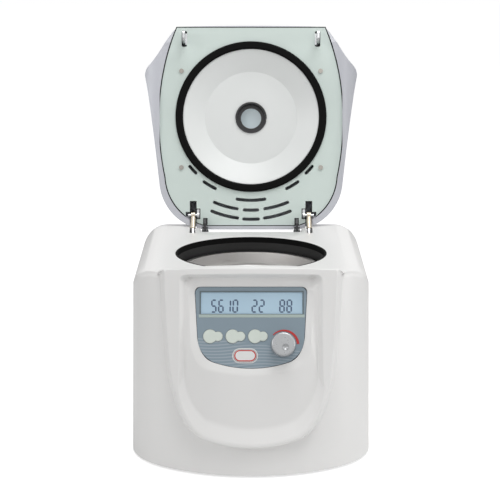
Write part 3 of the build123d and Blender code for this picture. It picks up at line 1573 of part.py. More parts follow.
half_rocker = rocker_height / 2
with BuildPart() as rocker:
    with BuildSketch(Plane.YZ.offset(switch_x - rocker_width / 2)):
        with Locations((rocker_y, switch_z)):
            Polygon(
                (-5, -half_rocker + 3),
                (1, -half_rocker),
                (4.4, -half_rocker),
                (2.8, 0),
                (4.4, half_rocker),
                (1, half_rocker),
                (-5, half_rocker - 3),
                align=None,
            )
    extrude(amount=rocker_width)
    with BuildSketch(Plane.YZ.offset(switch_x - rocker_width / 2 - rocker_pin_length + fit_gap)):
        with Locations((rocker_y, switch_z)):
            Circle(rocker_pin_radius)
    extrude(amount=rocker_width + 2 * (rocker_pin_length - fit_gap))
rocker_axis = Axis((switch_x, rocker_y, switch_z), (1, 0, 0))
rocked = rocker.part.rotate(rocker_axis, rocker_swing / 2)
rocked.label = "rocker"
export_step(centred(rocked), "parts/rocker.step")
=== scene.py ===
from math import asin, cos, hypot, pi, radians, sin

import bmesh
import bpy
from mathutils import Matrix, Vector


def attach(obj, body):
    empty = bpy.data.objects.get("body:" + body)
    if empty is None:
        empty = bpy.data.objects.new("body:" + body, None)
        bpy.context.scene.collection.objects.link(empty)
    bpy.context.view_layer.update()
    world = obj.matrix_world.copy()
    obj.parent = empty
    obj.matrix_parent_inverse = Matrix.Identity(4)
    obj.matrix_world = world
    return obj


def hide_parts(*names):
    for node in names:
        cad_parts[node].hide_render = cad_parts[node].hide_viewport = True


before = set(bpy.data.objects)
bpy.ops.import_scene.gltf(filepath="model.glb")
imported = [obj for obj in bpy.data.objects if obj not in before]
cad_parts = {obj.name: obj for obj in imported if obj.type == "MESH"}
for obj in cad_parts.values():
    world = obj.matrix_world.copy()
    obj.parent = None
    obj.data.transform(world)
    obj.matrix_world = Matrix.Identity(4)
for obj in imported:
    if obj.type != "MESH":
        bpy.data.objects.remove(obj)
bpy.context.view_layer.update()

# The camera stands a little over two metres in front of the bench and looks slightly down into
# the chamber, with the long lens of a catalogue photograph.
bpy.context.scene.view_settings.view_transform = "Standard"
look_down = 12.4
camera_data = bpy.data.cameras.new("catalogue_camera")
camera_data.lens = 120.7
camera_data.sensor_width = 36.0
camera_data.shift_x = -0.002
camera = bpy.data.objects.new("catalogue_camera", camera_data)
camera.location = (0.0, -2.0355, 0.665)
camera.rotation_euler = (radians(90.0 - look_down), 0.0, 0.0)
bpy.context.scene.collection.objects.link(camera)
bpy.context.scene.camera = camera


# The base plate is a zinc-plated steel sheet. The motor's pillars, the guard ring of the chamber
# and the posts of the struts stand on it, and the housing comes down over them all.
class Signal:
    """A socket inside a material, which adds, multiplies and compares as a plain number does."""

    def __init__(self, socket):
        self.socket = socket

    @staticmethod
    def node(tree, kind, settings, sockets, out=0):
        """Adds one node: its settings first, then the values or links of its sockets."""
        made = tree.nodes.new(kind)
        for name, value in settings.items():
            setattr(made, name, value)
        for name, value in sockets.items():
            if isinstance(value, Signal):
                tree.links.new(value.socket, made.inputs[name])
            else:
                made.inputs[name].default_value = value
        return Signal(made.outputs[out]) if made.outputs else None

    def beside(self, kind, settings, sockets, out=0):
        """Adds one node to the tree that this socket belongs to."""
        return Signal.node(self.socket.id_data, kind, settings, sockets, out)

    def math(self, operation, *values):
        return self.beside("ShaderNodeMath", {"operation": operation}, dict(enumerate(values)))

    def __add__(self, other):
        return self.math("ADD", self, other)

    __radd__ = __add__

    def __mul__(self, other):
        return self.math("MULTIPLY", self, other)

    __rmul__ = __mul__

    def __gt__(self, other):
        return self.math("GREATER_THAN", self, other)

    def __lt__(self, other):
        return self.math("LESS_THAN", self, other)

    def sine(self):
        return self.math("SINE", self)

    def stretched(self):
        """Spreads the middle values of a noise, where most of it lies, over the whole range."""
        return self.beside(
            "ShaderNodeMapRange", {}, {"Value": self, "From Min": 0.3, "From Max": 0.7}
        )

    def blend(self, low, high):
        """Mixes two colours by this value, through the Mix node's sockets for colours."""
        factor, first, second, result = 0, 6, 7, 2
        colours = {factor: self, first: (*low, 1.0), second: (*high, 1.0)}
        return self.beside("ShaderNodeMix", {"data_type": "RGBA"}, colours, result)

    def shade(self, share, colour):
        """Mixes a darker share of a colour with the colour itself by this value."""
        return self.blend([share * part for part in colour], colour)


class Finish:
    """One material of the instrument and the shader at the end of it."""

    def __init__(self, name):
        self.material = bpy.data.materials.new(name)
        self.material.use_nodes = True
        self.tree = self.material.node_tree
        self.tree.nodes.clear()
        self.place = self.node("ShaderNodeTexCoord", {}, {}, "Object")

    def node(self, kind, settings, sockets, out=0):
        return Signal.node(self.tree, kind, settings, sockets, out)

    def along(self, axis):
        """One coordinate of each place on the piece, in metres."""
        return self.node("ShaderNodeSeparateXYZ", {}, {"Vector": self.place}, axis)

    def noise(self, scale, detail=2.0):
        return self.node(
            "ShaderNodeTexNoise", {}, {"Vector": self.place, "Scale": scale, "Detail": detail}
        )

    def bump(self, height, strength):
        """Fine relief, a fifth of a millimetre deep at full strength."""
        return self.node(
            "ShaderNodeBump", {}, {"Height": height, "Strength": strength, "Distance": 0.0002}
        )

    def done(self, **sockets):
        """Ends the material in the shader, with sockets named as on its panel."""
        named = {name.replace("_", " "): value for name, value in sockets.items()}
        shader = self.node("ShaderNodeBsdfPrincipled", {}, named)
        self.node("ShaderNodeOutputMaterial", {}, {"Surface": shader})
        return self.material


def dress(material, *nodes):
    """Gives CAD nodes that material all over."""
    for node in nodes:
        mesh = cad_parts[node].data
        mesh.materials.clear()
        mesh.materials.append(material)


def coated(name, colour, rough=0.38, speckle=0.03, metal=0.0):
    """Powder coat, paint or plating: fine orange peel and a faint drift of tone."""
    finish = Finish(name)
    drift = finish.noise(14.0, 3.0)
    peel = finish.noise(900.0)
    return finish.done(
        Base_Color=drift.stretched().shade(0.96, colour),
        Roughness=rough + 0.1 * peel,
        Metallic=metal,
        Normal=finish.bump(peel, speckle),
    )


zinc_sheet = coated("zinc_sheet", (0.45, 0.46, 0.47), rough=0.35, speckle=0.05, metal=0.9)
dress(zinc_sheet, "base_plate")


# Four round feet of black rubber stand under the base plate. Each is moulded with a recess, and a
# steel screw with a dull dark finish in the recess holds it.
def rubbery(name, tone):
    """Moulded rubber: nearly black, matt, with a dusty bloom."""
    finish = Finish(name)
    bloom = finish.noise(60.0, 4.0)
    return finish.done(
        Base_Color=bloom.shade(0.7, (tone, tone, tone)),
        Roughness=0.5 + 0.2 * bloom,
        Specular_IOR_Level=0.05,
        Normal=finish.bump(finish.noise(1400.0), strength=0.05),
    )


def bright_metal(name, colour, rough, lines, streak=0.0):
    """Bare metal with fine marks that run round it at each height. A streak draws its highlights
    out, as fine turning marks do."""
    finish = Finish(name)
    marks = finish.node(
        "ShaderNodeTexNoise",
        {"noise_dimensions": "1D"},
        {"W": finish.along("Z") * lines, "Scale": 1.0, "Detail": 3.0},
    )
    cloud = finish.noise(18.0)
    return finish.done(
        Base_Color=(marks * 0.6 + cloud * 0.4).shade(0.82, colour),
        Metallic=1.0,
        Anisotropic=streak,
        Roughness=rough + 0.12 * marks,
        Normal=finish.bump(marks, strength=0.04),
    )


black_rubber = rubbery("rubber_black", 0.006)
screw_steel = bright_metal("screw_steel", (0.36, 0.34, 0.31), rough=0.3, lines=1500.0)
dress(black_rubber, "feet")
dress(screw_steel, "foot_screws")

# The motor is a painted can with a steel shaft in a bearing. It hangs from a zinc-plated plate,
# which stands on rubber dampers and turned steel pillars.
steel = bright_metal("plain_steel", (0.62, 0.63, 0.64), rough=0.22, lines=900.0)
dress(coated("motor_paint", (0.09, 0.095, 0.105), rough=0.45), "motor")
dress(steel, "motor_shaft", "motor_bearing", "motor_pillars")
dress(zinc_sheet, "motor_plate")
dress(black_rubber, "motor_dampers")

# The chamber is a drawn steel bowl under a collar of dark rubber. The bowl's near-black colour is
# painted shade and dark reflection of the chamber's inside. A guard ring of painted steel carries
# both, and a rubber seal closes the bowl round the motor's shaft.
black_paint = coated("black_steel", (0.02, 0.02, 0.022), rough=0.4)
# The bowl's near-black colour is painted shade and dark reflection inside the chamber.
dress(coated("bowl_black_painted_shade", (0.004, 0.004, 0.004), rough=0.5), "bowl")
dress(black_paint, "guard_ring")
dress(black_rubber, "chamber_collar", "shaft_seal")


# The housing is one injection moulding in warm white, with a fine even grain from the tool and a
# satin skin. It comes down over the chamber and stands on the base plate.
def moulded(name, colour, grain=0.02):
    """Injection-moulded plastic: satin, with the fine even grain of an etched tool."""
    finish = Finish(name)
    cloud = finish.noise(9.0, 3.0)
    return finish.done(
        Base_Color=cloud.stretched().shade(0.975, colour),
        Roughness=0.28 + 0.08 * cloud,
        Normal=finish.bump(finish.noise(2600.0, 1.0), grain),
    )


warm_white = moulded("housing_plastic", (0.83, 0.825, 0.815))

# Its front stands proud as a bib with a rounded U outline, moulded in one with it. A narrow ridge
# runs round the bib, and inside the ridge the front dips to a shallow apron and to the recess of
# the control panel. The measures are in millimetres, and depths count from the rotor's axis.
mm = 0.001
axis_y = -35.5
lip_front, lip_top, front_slope = 140.0, 235.6, 0.2575
lip_bow, foot_bow, foot_z = 546.0, 260.0, 36.0
panel_y, panel_z, panel_lean = -132.0, 210.7, radians(20.0)
panel_half, panel_drop = 64.3, 93.0
plane = (0, 1)


def bow(x, radius):
    """How far an arc of that radius falls back at a distance from the centre line."""
    return radius - (radius**2 - x * x) ** 0.5


def parabola(start, pull, end, share):
    """A place on the curve from start to end that leans towards the point between them."""
    return (1 - share) ** 2 * start + 2 * share * (1 - share) * pull + share * share * end


def half_arc(start, end, steps):
    """Points of a level arc from its middle on the centre line to one end."""
    rise = end[1] - start[1]
    straight = 0.05
    if abs(rise) < straight:
        return [
            (start[0] + (end[0] - start[0]) * step / steps, start[1] + rise * step / steps)
            for step in range(steps)
        ]
    radius = (end[0] ** 2 + rise**2) / (2 * rise)
    swing = asin(end[0] / abs(radius))
    turns = [swing * step / steps for step in range(steps)]
    return [(abs(radius) * sin(turn), start[1] + radius * (1 - cos(turn))) for turn in turns]


def bent(start, through, end, steps):
    """Points of a parabola that starts at one point, passes a second and runs to a third."""
    pull = [2 * through[axis] - (start[axis] + end[axis]) / 2 for axis in plane]
    return [
        tuple(parabola(start[axis], pull[axis], end[axis], step / steps) for axis in plane)
        for step in range(steps)
    ]


def u_ring(places, crown, rounding):
    """Closed ring of points in the front view, from six places of its right half. Its top edge
    rises by the crown to the middle, and its upper corners are rounded."""
    low, first, second, third, fourth, corner = places
    foot_steps, bend_steps, side_steps, corner_steps, top_steps = 12, 14, 16, 6, 16
    top = (0.0, corner[1] + crown)
    run = hypot(fourth[0] - corner[0], fourth[1] - corner[1])
    before = [corner[axis] + (fourth[axis] - corner[axis]) * rounding / run for axis in plane]
    after = (corner[0] - rounding, corner[1] + crown * rounding / corner[0])
    through = [0.25 * before[axis] + 0.5 * corner[axis] + 0.25 * after[axis] for axis in plane]
    half = half_arc(low, first, foot_steps)
    half += bent(first, second, third, bend_steps)
    half += bent(third, fourth, before, side_steps)
    half += bent(before, through, after, corner_steps)
    half += [after] + half_arc(top, after, top_steps)[:0:-1] + [top]
    return half + [(-x, y) for x, y in half[-2:0:-1]]


def front_places(half_top, half_low, bottom, top):
    """The six places of an outline of the bib: four up its lower bend, its side and corner."""
    bend = ((0.0, 0.0), (0.66, 9.0), (0.88, 28.0), (1.0, 57.0))
    side = (0.6 * half_top + 0.4 * half_low, (bottom + top) / 2)
    return [(share * half_low, bottom + rise) for share, rise in bend] + [side, (half_top, top)]


def crest(x, z):
    """How far back the bib's ridge lies at a place of the front view."""
    high = bow(x, lip_bow)
    share = (lip_top - z) / (lip_top - foot_z)
    return -lip_front - front_slope * (lip_top - z) + high + share * (bow(x, foot_bow) - high)


def on_panel(x, down, out=0.0):
    """A place on the control panel: across, down its slope and out of its face."""
    y = panel_y + axis_y - down * sin(panel_lean) - out * cos(panel_lean)
    z = panel_z - down * cos(panel_lean) + out * sin(panel_lean)
    return Vector((x, y, z))


def bib_ring(places, crown, rounding, inset, top_inset=None, top_z=None, back=None):
    """An outline of the bib at a depth behind the ridge, with another depth for its top edge.
    That edge can be held under a height and in front of a line, so that the shut lid clears it."""
    fade, lid_half, lid_corner = 6.0, 100.0, 0.9
    made = []
    top = places[-1][1]
    for x, z in u_ring(places, crown, rounding):
        upper = max(0.0, min(1.0, (z - top + fade) / fade))
        deep = inset if top_inset is None else inset + upper * (top_inset - inset)
        y = crest(x, z) + deep
        if back is not None and upper > 0.5:
            aside = max(0.0, abs(x) - lid_half) if top_z else 0.0
            y = min(y, back + lid_corner * aside)
        if top_z is not None:
            z = min(z, top_z)
        made.append(Vector((x, y + axis_y, z)))
    return made


def panel_ring(grow, out, head=None, flush=False):
    """An outline of the control panel, grown and moved out of its face. A flush one stays just
    behind the ridge, apart from its top edge."""
    half = panel_half + grow
    low = -panel_drop - grow
    top = grow if head is None else head
    bend = ((20.5, 7.5), (9.3, 17.0), (3.3, 35.0))
    places = [(0.0, low)] + [(half - inward, low + rise) for inward, rise in bend]
    side_x, side_z = places[-1]
    places += [((side_x + half) / 2, (side_z + top) / 2), (half, top)]
    shallow, deep, top_edge, rounding = 0.6, 5.0, 4.0, 7.0
    made = []
    for x, up in u_ring(places, 0.0, rounding + max(grow, 0.0)):
        place = on_panel(x, -up, out)
        if flush and up < top - top_edge:
            ridge = crest(x, place.z) + axis_y
            place.y = min(ridge + deep, max(ridge + shallow, place.y))
        made.append(place)
    return made


bib_foot = bib_ring(
    front_places(half_top=109.0, half_low=95.0, bottom=27.5, top=231.2),
    crown=4.4,
    rounding=5.0,
    inset=36.0,
    top_inset=27.0,
    top_z=221.0,
    back=-116.3,
)
bib_side = bib_ring(
    front_places(half_top=103.6, half_low=89.6, bottom=32.9, top=231.0),
    crown=4.4,
    rounding=5.0,
    inset=13.0,
    top_inset=14.5,
    back=-124.6,
)
ridge_outside = bib_ring(
    front_places(half_top=100.0, half_low=86.0, bottom=36.4, top=231.2),
    crown=4.4,
    rounding=5.0,
    inset=0.2,
)
ridge_inside = bib_ring(
    front_places(half_top=81.5, half_low=83.5, bottom=40.4, top=226.4),
    crown=1.5,
    rounding=9.0,
    inset=0.0,
)
apron = bib_ring(
    front_places(half_top=77.0, half_low=77.0, bottom=56.0, top=221.5),
    crown=0.8,
    rounding=8.0,
    inset=5.0,
    top_inset=11.5,
)
recess = panel_ring(grow=8.0, out=1.0, head=5.0, flush=True)
pocket_rim = panel_ring(grow=0.45, out=0.1)
pocket_floor = panel_ring(grow=0.45, out=-3.0)

# The skin runs over these rings from the foot of the bib to the floor of the film's pocket, and
# turns softly at each ring between them. The figures say how softly, in the same order.
rings = [bib_foot, bib_side, ridge_outside, ridge_inside, apron, recess, pocket_rim, pocket_floor]
softness = (3.0, 2.2, 1.6, 3.0, 2.5, 0.7)
most_of_side, turn_steps = 0.45, 4
rounded = [bib_foot]
for ring_before, ring, ring_after, soft in zip(rings, rings[1:], rings[2:], softness):
    turned = [[] for step in range(turn_steps + 1)]
    for last, here, after in zip(ring_before, ring, ring_after):
        into = here + (last - here) * min(most_of_side, soft / (last - here).length)
        away = here + (after - here) * min(most_of_side, soft / (after - here).length)
        for step, row in enumerate(turned):
            row.append(parabola(into, here, away, step / turn_steps))
    rounded += turned
rounded.append(pocket_floor)


def within(x, z, outline):
    """Tells whether a place of the front view lies inside an outline."""
    inside = False
    for (ax, az), (bx, bz) in zip(outline, outline[1:] + outline[:1]):
        if (az > z) != (bz > z) and x < (bx - ax) * (z - az) / (bz - az) + ax:
            inside = not inside
    return inside


def band(work, outer, inner):
    """Joins two closed rows of points with a band of faces."""
    for k in range(len(outer)):
        work.faces.new((outer[k - 1], outer[k], inner[k], inner[k - 1]))


# The solid's own plain front is cut away inside the bib's outline, and the skin takes its place.
# That front is known by its depth and bow at the top, and by its lean and bow at the foot.
casing = bmesh.new()
casing.from_mesh(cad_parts["housing"].data)
all_gone = u_ring(
    front_places(half_top=96.0, half_low=78.0, bottom=41.0, top=237.0), crown=0.0, rounding=0.5
)
outer_limit = u_ring(
    front_places(half_top=105.0, half_low=89.0, bottom=30.0, top=239.0), crown=0.0, rounding=2.0
)
plain_front, plain_lean, plain_foot_bow = 137.0, 56.0, 185.0
plain_top, plain_height, front_slack = 236.0, 206.0, 4.0
front_behind, steep_normal = -111.0, 0.3
deck_low, deck_high, weld = 221.8, 222.2, 2e-6
gone = []
for face in casing.faces:
    x, y, z = face.calc_center_median() / mm
    y -= axis_y
    if y > front_behind or deck_low < z < deck_high or not within(x, z, outer_limit):
        continue
    high = bow(x, lip_bow)
    share = (plain_top - z) / plain_height
    plain = -plain_front - plain_lean * share + high + share * (bow(x, plain_foot_bow) - high)
    steep = abs(face.normal.y) < steep_normal
    if y < plain + front_slack or steep or z > deck_high or within(x, z, all_gone):
        gone.append(face)
bmesh.ops.delete(casing, geom=gone, context="FACES")
bmesh.ops.remove_doubles(casing, verts=casing.verts, dist=weld)
rows = [[casing.verts.new(place * mm) for place in ring] for ring in rounded]
for outer, inner in zip(rows, rows[1:]):
    band(casing, outer, inner)
bmesh.ops.recalc_face_normals(casing, faces=casing.faces)


def finished(work, name, material, body, sharp_angle=20.0):
    """Turns a bmesh into a piece that rides on a body and wears one material."""
    mesh = bpy.data.meshes.new(name)
    work.to_mesh(mesh)
    work.free()
    mesh.polygons.foreach_set("use_smooth", [True] * len(mesh.polygons))
    mesh.set_sharp_from_angle(angle=radians(sharp_angle))
    mesh.materials.append(material)
    piece = bpy.data.objects.new(name, mesh)
    bpy.context.scene.collection.objects.link(piece)
    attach(piece, body)
    return piece


shell = finished(
    casing, "housing_moulding", warm_white, "base", sharp_angle=35.0
)
evened = shell.modifiers.new("even_shading", "WEIGHTED_NORMAL")
evened.keep_sharp = True
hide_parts("housing")

# The latch under the deck is a ground steel bar with two pins. It slides in a rail of zinc-plated
# sheet, and a small drive in a black moulded box pushes it.
black_plastic = moulded("socket_black", (0.018, 0.018, 0.02), grain=0.03)
dress(steel, "latch_bar")
dress(zinc_sheet, "latch_rail")
dress(black_plastic, "latch_motor")

# The control board is a green printed circuit with fine tracks, fixed behind the panel. On it
# sits the encoder, a black moulded body with a turned steel shaft.
board = Finish("board")
tracks = board.node(
    "ShaderNodeTexBrick", {"offset": 0.5}, {"Vector": board.place, "Scale": 140.0}, "Fac"
)
board_green = tracks.blend((0.02, 0.12, 0.05), (0.04, 0.18, 0.08))
dress(board.done(Base_Color=board_green, Roughness=0.4), "control_board")
dress(black_plastic, "encoder")
dress(steel, "encoder_shaft")

# The face of the control panel is a slate-blue film with fine wavy lines printed over its lower
# part. It is cut to the shape of the recess and glued in.
wave_across, wave_up, wave_depth, lines_up = 62.0, 30.0, 3.2, 1900.0
band_top, band_slant, line_edge = 0.150, 0.12, 0.45
film = Finish("panel_film")
across = film.along("X")
height = film.along("Z")
swell = (across * wave_across + height * wave_up).sine()
line = (height * lines_up + swell * wave_depth).sine()
lined = (height + across * band_slant < band_top) * (line > line_edge)
slate = lined.blend((0.235, 0.30, 0.35), (0.34, 0.40, 0.45))
dress(film.done(Base_Color=slate, Roughness=0.34 + 0.06 * film.noise(300.0)), "fascia")

# The display module stands behind the film, under a tinted window of clear plastic with a faint
# light behind it. The window lies in a shallow recess. A dark rim frames it, the frame's slate
# colour darkened with painted shade of the recess walls at the top and sides, and a pale sill
# below it is a painted highlight on the lit lower wall of the recess.
dress(moulded("module", (0.05, 0.08, 0.1)), "display_module")
window = Finish("window")
tint = window.noise(16.0, 1.0)
dress(
    window.done(
        Base_Color=tint.blend((0.42, 0.59, 0.72), (0.48, 0.65, 0.78)),
        Roughness=0.16 + 0.05 * tint,
        Emission_Color=(0.45, 0.66, 0.85, 1.0),
        Emission_Strength=0.03,
        Coat_Weight=0.3,
    ),
    "display_window",
)
window_x, window_down = 0.8, 18.2
rim_outer, rim_inner, rim_out, rim_depth = (119.4, 27.9), (116.8, 25.3), 0.12, 1.5
sill_down, sill_size, sill_out = 33.2, (121.0, 3.4), 0.16
thin = 0.1


def slab(x, down, wide, high):
    """Rectangle on the panel, with a point at each corner and halfway along each side."""
    ways = ((-1, -1), (0, -1), (1, -1), (1, 0), (1, 1), (0, 1), (-1, 1), (-1, 0))
    return [(x + aside * wide / 2, down + below * high / 2) for aside, below in ways]


def plate_on_panel(work, outline, inner, out, depth):
    """A flat plate on the panel, or a ring between two outlines, with side walls of a depth."""

    def row(places, level):
        return [work.verts.new(on_panel(x, down, level) * mm) for x, down in places]

    high = row(outline, out)
    band(work, high, row(outline, out - depth))
    if inner is None:
        work.faces.new(high)
        return
    hole = row(inner, out)
    band(work, hole, high)
    band(work, row(inner, out - depth), hole)


rim = bmesh.new()
outline, hole = [slab(window_x, window_down, *size) for size in (rim_outer, rim_inner)]
plate_on_panel(rim, outline, hole, rim_out, rim_depth)
# The rim's dark colour is the frame's slate plus painted shade of the recess walls at the top and
# sides.
rim_slate_and_painted_shade = moulded("rim_slate_and_painted_shade", (0.13, 0.17, 0.19), grain=0.01)
finished(rim, "window_rim", rim_slate_and_painted_shade, "base")
sill = bmesh.new()
plate_on_panel(sill, slab(window_x, sill_down, *sill_size), None, sill_out, thin)
# The sill's pale colour is a painted highlight on the lit lower wall of the window's recess.
sill_painted_highlight = moulded("sill_painted_highlight", (0.42, 0.50, 0.47), grain=0.01)
finished(sill, "window_sill", sill_painted_highlight, "base")

# The display shows three groups of plain seven-segment figures, dark blue on the pale tint. Each
# segment has its middle at a share of the figure's width and height, and lies level or upright.
segments = {
    "a": (0.5, 0.0, True),
    "b": (1.0, 0.25, False),
    "c": (1.0, 0.75, False),
    "d": (0.5, 1.0, True),
    "e": (0.0, 0.75, False),
    "f": (0.0, 0.25, False),
    "g": (0.5, 0.5, True),
}
lit = {"5": "acdfg", "6": "acdefg", "1": "bc", "0": "abcdef", "2": "abdeg", "8": "abcdefg"}
groups = (("5610", -45.0), ("22", 1.6), ("88", 33.2))
figure_wide, figure_high, pitch, slant = 4.9, 13.6, 8.2, 0.8
bar, bar_gap, figures_down, figures_out = 1.75, 0.3, 14.9, -1.32


def segment_shape(level):
    """Outline of one segment round its own middle: a bar with pointed ends."""
    long = (figure_wide if level else figure_high / 2) / 2 - bar_gap
    half = bar / 2
    blunt = long - half
    shape = [(-long, 0.0), (-blunt, -half), (blunt, -half)]
    shape += [(-x, -y) for x, y in shape]
    return shape if level else [(-y, x) for x, y in shape]


figures = bmesh.new()
for text, left in groups:
    for number, figure in enumerate(text):
        for key in lit[figure]:
            across_share, down_share, level = segments[key]
            x = left + number * pitch + across_share * figure_wide + (0.5 - down_share) * slant
            down = figures_down + down_share * figure_high
            outline = [(x + aside, down + below) for aside, below in segment_shape(level)]
            plate_on_panel(figures, outline, None, figures_out, thin)
figure_ink = moulded("figure_ink", (0.07, 0.11, 0.19), grain=0.0)
finished(figures, "display_figures", figure_ink, "base")

# Three soft keys are moulded in a pale green and stand through keyhole-shaped holes of the film.
# The start key is white, with a red line printed on it and a white surround set in the film.
dress(moulded("key_plastic", (0.68, 0.74, 0.68), grain=0.01), "key_1", "key_2", "key_3")
start_white = moulded("start_plastic", (0.80, 0.80, 0.79), grain=0.01)
dress(start_white, "start_key")
red = moulded("red_print", (0.52, 0.035, 0.03), grain=0.0)
start_x, start_down, start_top = -6.7, 78.7, 0.9
surround_sizes, surround_out = ((29.4, 17.2), (27.2, 15.0)), 0.08
red_sizes, red_out = ((25.0, 13.0), (22.4, 10.4)), 0.05


def pill(x, down, length, width):
    """Outline of a long hole with round ends, centred on a place of the panel."""
    steps = 12
    radius = width / 2
    made = []
    for side in (1, -1):
        for step in range(steps + 1):
            turn = pi * (step / steps - 0.5)
            reach = (length / 2 - radius) + radius * cos(turn)
            made.append((x + side * reach, down + side * radius * sin(turn)))
    return made


surround = bmesh.new()
outline, hole = [pill(start_x, start_down, *size) for size in surround_sizes]
plate_on_panel(surround, outline, hole, surround_out, thin)
finished(surround, "start_surround", start_white, "base")
red_line = bmesh.new()
outline, hole = [pill(start_x, start_down, *size) for size in red_sizes]
plate_on_panel(red_line, outline, hole, start_top + red_out, thin)
finished(red_line, "start_ring", red, "start")

# The knob is a moulding with a satin silver coat, pushed on the encoder's shaft. A red arc is
# printed on the film round it.
dress(coated("knob_silver", (0.44, 0.45, 0.46), rough=0.24, speckle=0.0, metal=0.6), "knob")
dress(red, "knob_arc")

# The rear is closed by a coated sheet with louvres, held by four screws. The mains inlet with its
# steel pins, the fuse drawer and the switch are black mouldings set in it.
dress(coated("rear_sheet", (0.70, 0.70, 0.68)), "rear_panel")
dress(screw_steel, "rear_screws")
dress(black_plastic, "mains_inlet", "fuse_drawer", "switch_frame", "rocker")
dress(steel, "inlet_pins")

# The hinge is two arms on the lid and two forks in the well behind the deck, all of steel painted
# black. Steel pins riveted through the forks carry the arms.
dress(black_paint, "hinge_arms", "hinge_forks")
dress(steel, "hinge_pins")

# The lid's outer shell is moulded like the housing. Its cooler grey, which shows against the pale
# liner plate screwed into it, is painted shade: the shell's sides in view lie in shade, and the
# grey stands for that shade all over.
dress(moulded("lid_plastic", (0.56, 0.57, 0.615)), "lid_shell")

# The liner is a steel plate, powder coated in a pale green grey, with vent slots pressed through
# it. Four screws hold it into bosses of the shell, and the dish is pressed from thinner sheet.
dress(coated("liner_plate", (0.68, 0.77, 0.73)), "lid_plate")
dress(coated("dish_sheet", (0.83, 0.85, 0.84), rough=0.3), "lid_dish")
dress(screw_steel, "plate_screws")

# A ring of black rubber is fitted to the liner plate round the dish. With the lid shut it seals
# on the collar of the chamber.
gasket_rubber = rubbery("gasket_rubber", 0.007)
dress(gasket_rubber, "lid_gasket")

# A thin bead of the same black rubber lies along the joint between the plate's edge and the shell
# and draws a dark line there. It is laid along the outer edge of the plate's face, which is found
# as the loop of edges between that face and the plate's sides that reaches furthest from the
# middle.
bead_profile = ((0.9, 0.05), (0.5, 0.35), (-0.2, 0.35), (-0.5, 0.05))
to_front, in_face, in_side, joined = -0.9, 0.99, 0.3, 1e-6
liner = bmesh.new()
liner.from_mesh(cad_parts["lid_plate"].data)
bmesh.ops.remove_doubles(liner, verts=liner.verts, dist=joined)
liner.normal_update()
facing = Vector()
for face in liner.faces:
    if face.normal.y < to_front:
        facing += face.normal * face.calc_area()
facing.normalize()
middle = sum((point.co for point in liner.verts), Vector()) / len(liner.verts)
outward = {}
for edge in liner.edges:
    if len(edge.link_faces) != 2:
        continue
    flat, wall = sorted(edge.link_faces, key=lambda face: -face.normal.dot(facing))
    if flat.normal.dot(facing) < in_face or abs(wall.normal.dot(facing)) > in_side:
        continue
    for end in edge.verts:
        outward.setdefault(end, []).append((edge, wall.normal.copy()))
loops, visited = [], set()
for first in outward:
    loop, waiting = [], [first]
    while waiting:
        end = waiting.pop()
        if end not in visited:
            visited.add(end)
            loop.append(end)
            waiting += [edge.other_vert(end) for edge, wall in outward[end]]
    if loop:
        loops.append(loop)
rim_loop = max(loops, key=lambda loop: max((end.co - middle).length for end in loop))
bead = bmesh.new()
sides = {}
for end in rim_loop:
    away = sum((wall for edge, wall in outward[end]), Vector()).normalized()
    sides[end] = [
        bead.verts.new(end.co + away * reach * mm + facing * rise * mm)
        for reach, rise in bead_profile
    ]
for edge in dict.fromkeys(edge for end in rim_loop for edge, wall in outward[end]):
    one, two = [sides[end] for end in edge.verts]
    for corners in zip(one, one[1:], two[1:], two):
        bead.faces.new(corners)
bmesh.ops.recalc_face_normals(bead, faces=bead.faces)
liner.free()
finished(bead, "liner_bead", gasket_rubber, "lid", sharp_angle=35.0)

# Round the viewing port stands a black moulded tube with a clear acrylic disc in it, through
# which a strobe can read the speed of the rotor.
dress(black_plastic, "port_tube")
pane = Finish("port_pane")
haze = pane.noise(40.0)
dress(
    pane.done(
        Base_Color=haze.blend((0.66, 0.82, 0.88), (0.76, 0.88, 0.92)),
        Roughness=0.08 + 0.06 * haze,
        Coat_Weight=0.6,
    ),
    "port_glass",
)

# Two hooks of bright steel strip, bent over and fixed above the liner plate, stand at the front
# of the lid. They drop through slots of the deck, where the latch bar's pins hold them.
dress(steel, "lid_hooks")

# Two gas struts hold the lid up. Each has a chromed rod with a yellow zinc-plated end on a steel
# stud of the lid, and a cylinder of steel tube painted black on a post of the base plate.
yellow_zinc = bright_metal("yellow_zinc", (0.60, 0.54, 0.44), rough=0.28, lines=700.0)
chrome = bright_metal("chrome", (0.82, 0.83, 0.85), rough=0.06, lines=400.0)
dress(steel, "strut_studs")
dress(yellow_zinc, "strut_end_left", "strut_end_right")
dress(chrome, "strut_rod_left", "strut_rod_right")
dress(black_paint, "strut_cylinder_left", "strut_cylinder_right")
dress(zinc_sheet, "strut_posts")

# The rotor is turned from aluminium, bored for its tubes and anodised. It sits on the shaft with
# a steel hub, and a steel hexagon nut holds it down.
rotor_alloy = bright_metal(
    "rotor_alloy", (0.62, 0.61, 0.60), rough=0.3, lines=1800.0, streak=0.8
)
dress(rotor_alloy, "rotor")
dress(steel, "rotor_hub", "rotor_nut")

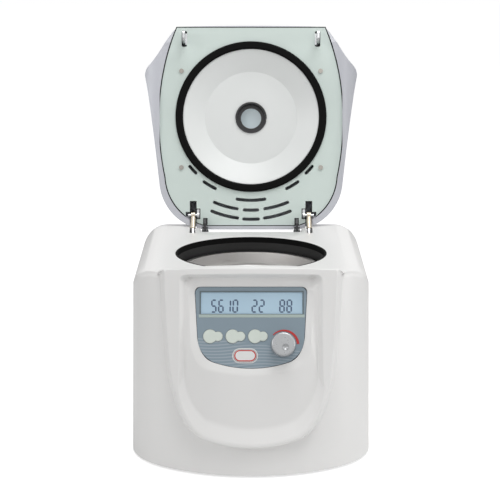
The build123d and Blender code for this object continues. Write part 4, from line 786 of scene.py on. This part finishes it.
# The light is soft: a broad panel overhead, one at each side of the bench, two small ones in
# front and a pale room all round, which mirrors and the camera see brighter than it shines.
white, room_light, seen_light = (1.0, 1.0, 1.0, 1.0), 0.37, 1.0
world = bpy.data.worlds.new("studio")
world.use_nodes = True
bpy.context.scene.world = world
studio = world.node_tree
studio.nodes.clear()
to_camera, mirrored, through_glass = [
    Signal.node(studio, "ShaderNodeLightPath", {}, {}, f"Is {ray} Ray")
    for ray in ("Camera", "Glossy", "Transmission")
]
shown = to_camera + mirrored + through_glass > 0.5
room, backdrop = [
    Signal.node(studio, "ShaderNodeBackground", {}, {"Color": white, "Strength": strength})
    for strength in (room_light, seen_light)
]
walls = Signal.node(studio, "ShaderNodeMixShader", {}, {0: shown, 1: room, 2: backdrop})
Signal.node(studio, "ShaderNodeOutputWorld", {}, {"Surface": walls})


def lamp(name, place, aim, size, power):
    """A square soft box at a place, turned towards a point."""
    data = bpy.data.lights.new(name, "AREA")
    data.shape = "SQUARE"
    data.size = size
    data.energy = power
    box = bpy.data.objects.new(name, data)
    box.location = place
    box.rotation_euler = (Vector(aim) - Vector(place)).to_track_quat("-Z", "Y").to_euler()
    bpy.context.scene.collection.objects.link(box)


body_middle, lip_middle = (0.0, 0.0, 0.2), (0.0, -0.15, 0.2)
lamp("overhead_box", (0.4, -0.3, 2.4), body_middle, size=1.4, power=27.0)
lamp("strip_box", (-1.5, -1.4, 1.1), body_middle, size=0.4, power=4.0)
lamp("lip_box", (0.2, -0.75, 0.85), lip_middle, size=0.5, power=0.8)
lamp("left_box", (-2.0, -0.3, 0.6), body_middle, size=1.0, power=3.5)
lamp("right_box", (2.0, -0.3, 0.6), body_middle, size=1.0, power=8.0)

# The bench is a plain pale sheet that takes the instrument's soft shadow. It reaches so far that
# no edge shows, and the camera sees it a little brighter than it is lit, as a white backdrop.
half_bench, bench_glow = 40.0, 0.68
sheet = bmesh.new()
square = ((-1, -1), (1, -1), (1, 1), (-1, 1))
sheet.faces.new([sheet.verts.new((x * half_bench, y * half_bench, 0.0)) for x, y in square])
floor_mesh = bpy.data.meshes.new("floor")
sheet.to_mesh(floor_mesh)
sheet.free()
floor = bpy.data.objects.new("floor", floor_mesh)
bpy.context.scene.collection.objects.link(floor)
pale = Finish("floor_sheet")
direct = pale.node("ShaderNodeLightPath", {}, {}, "Is Camera Ray")
diffuse = pale.node("ShaderNodeBsdfDiffuse", {}, {"Color": (0.86, 0.86, 0.86, 1.0)})
glow = pale.node("ShaderNodeEmission", {}, {"Color": white, "Strength": bench_glow})
both = pale.node("ShaderNodeAddShader", {}, {0: diffuse, 1: glow})
surface = pale.node("ShaderNodeMixShader", {}, {0: direct, 1: diffuse, 2: both})
pale.node("ShaderNodeOutputMaterial", {}, {"Surface": surface})
floor_mesh.materials.append(pale.material)
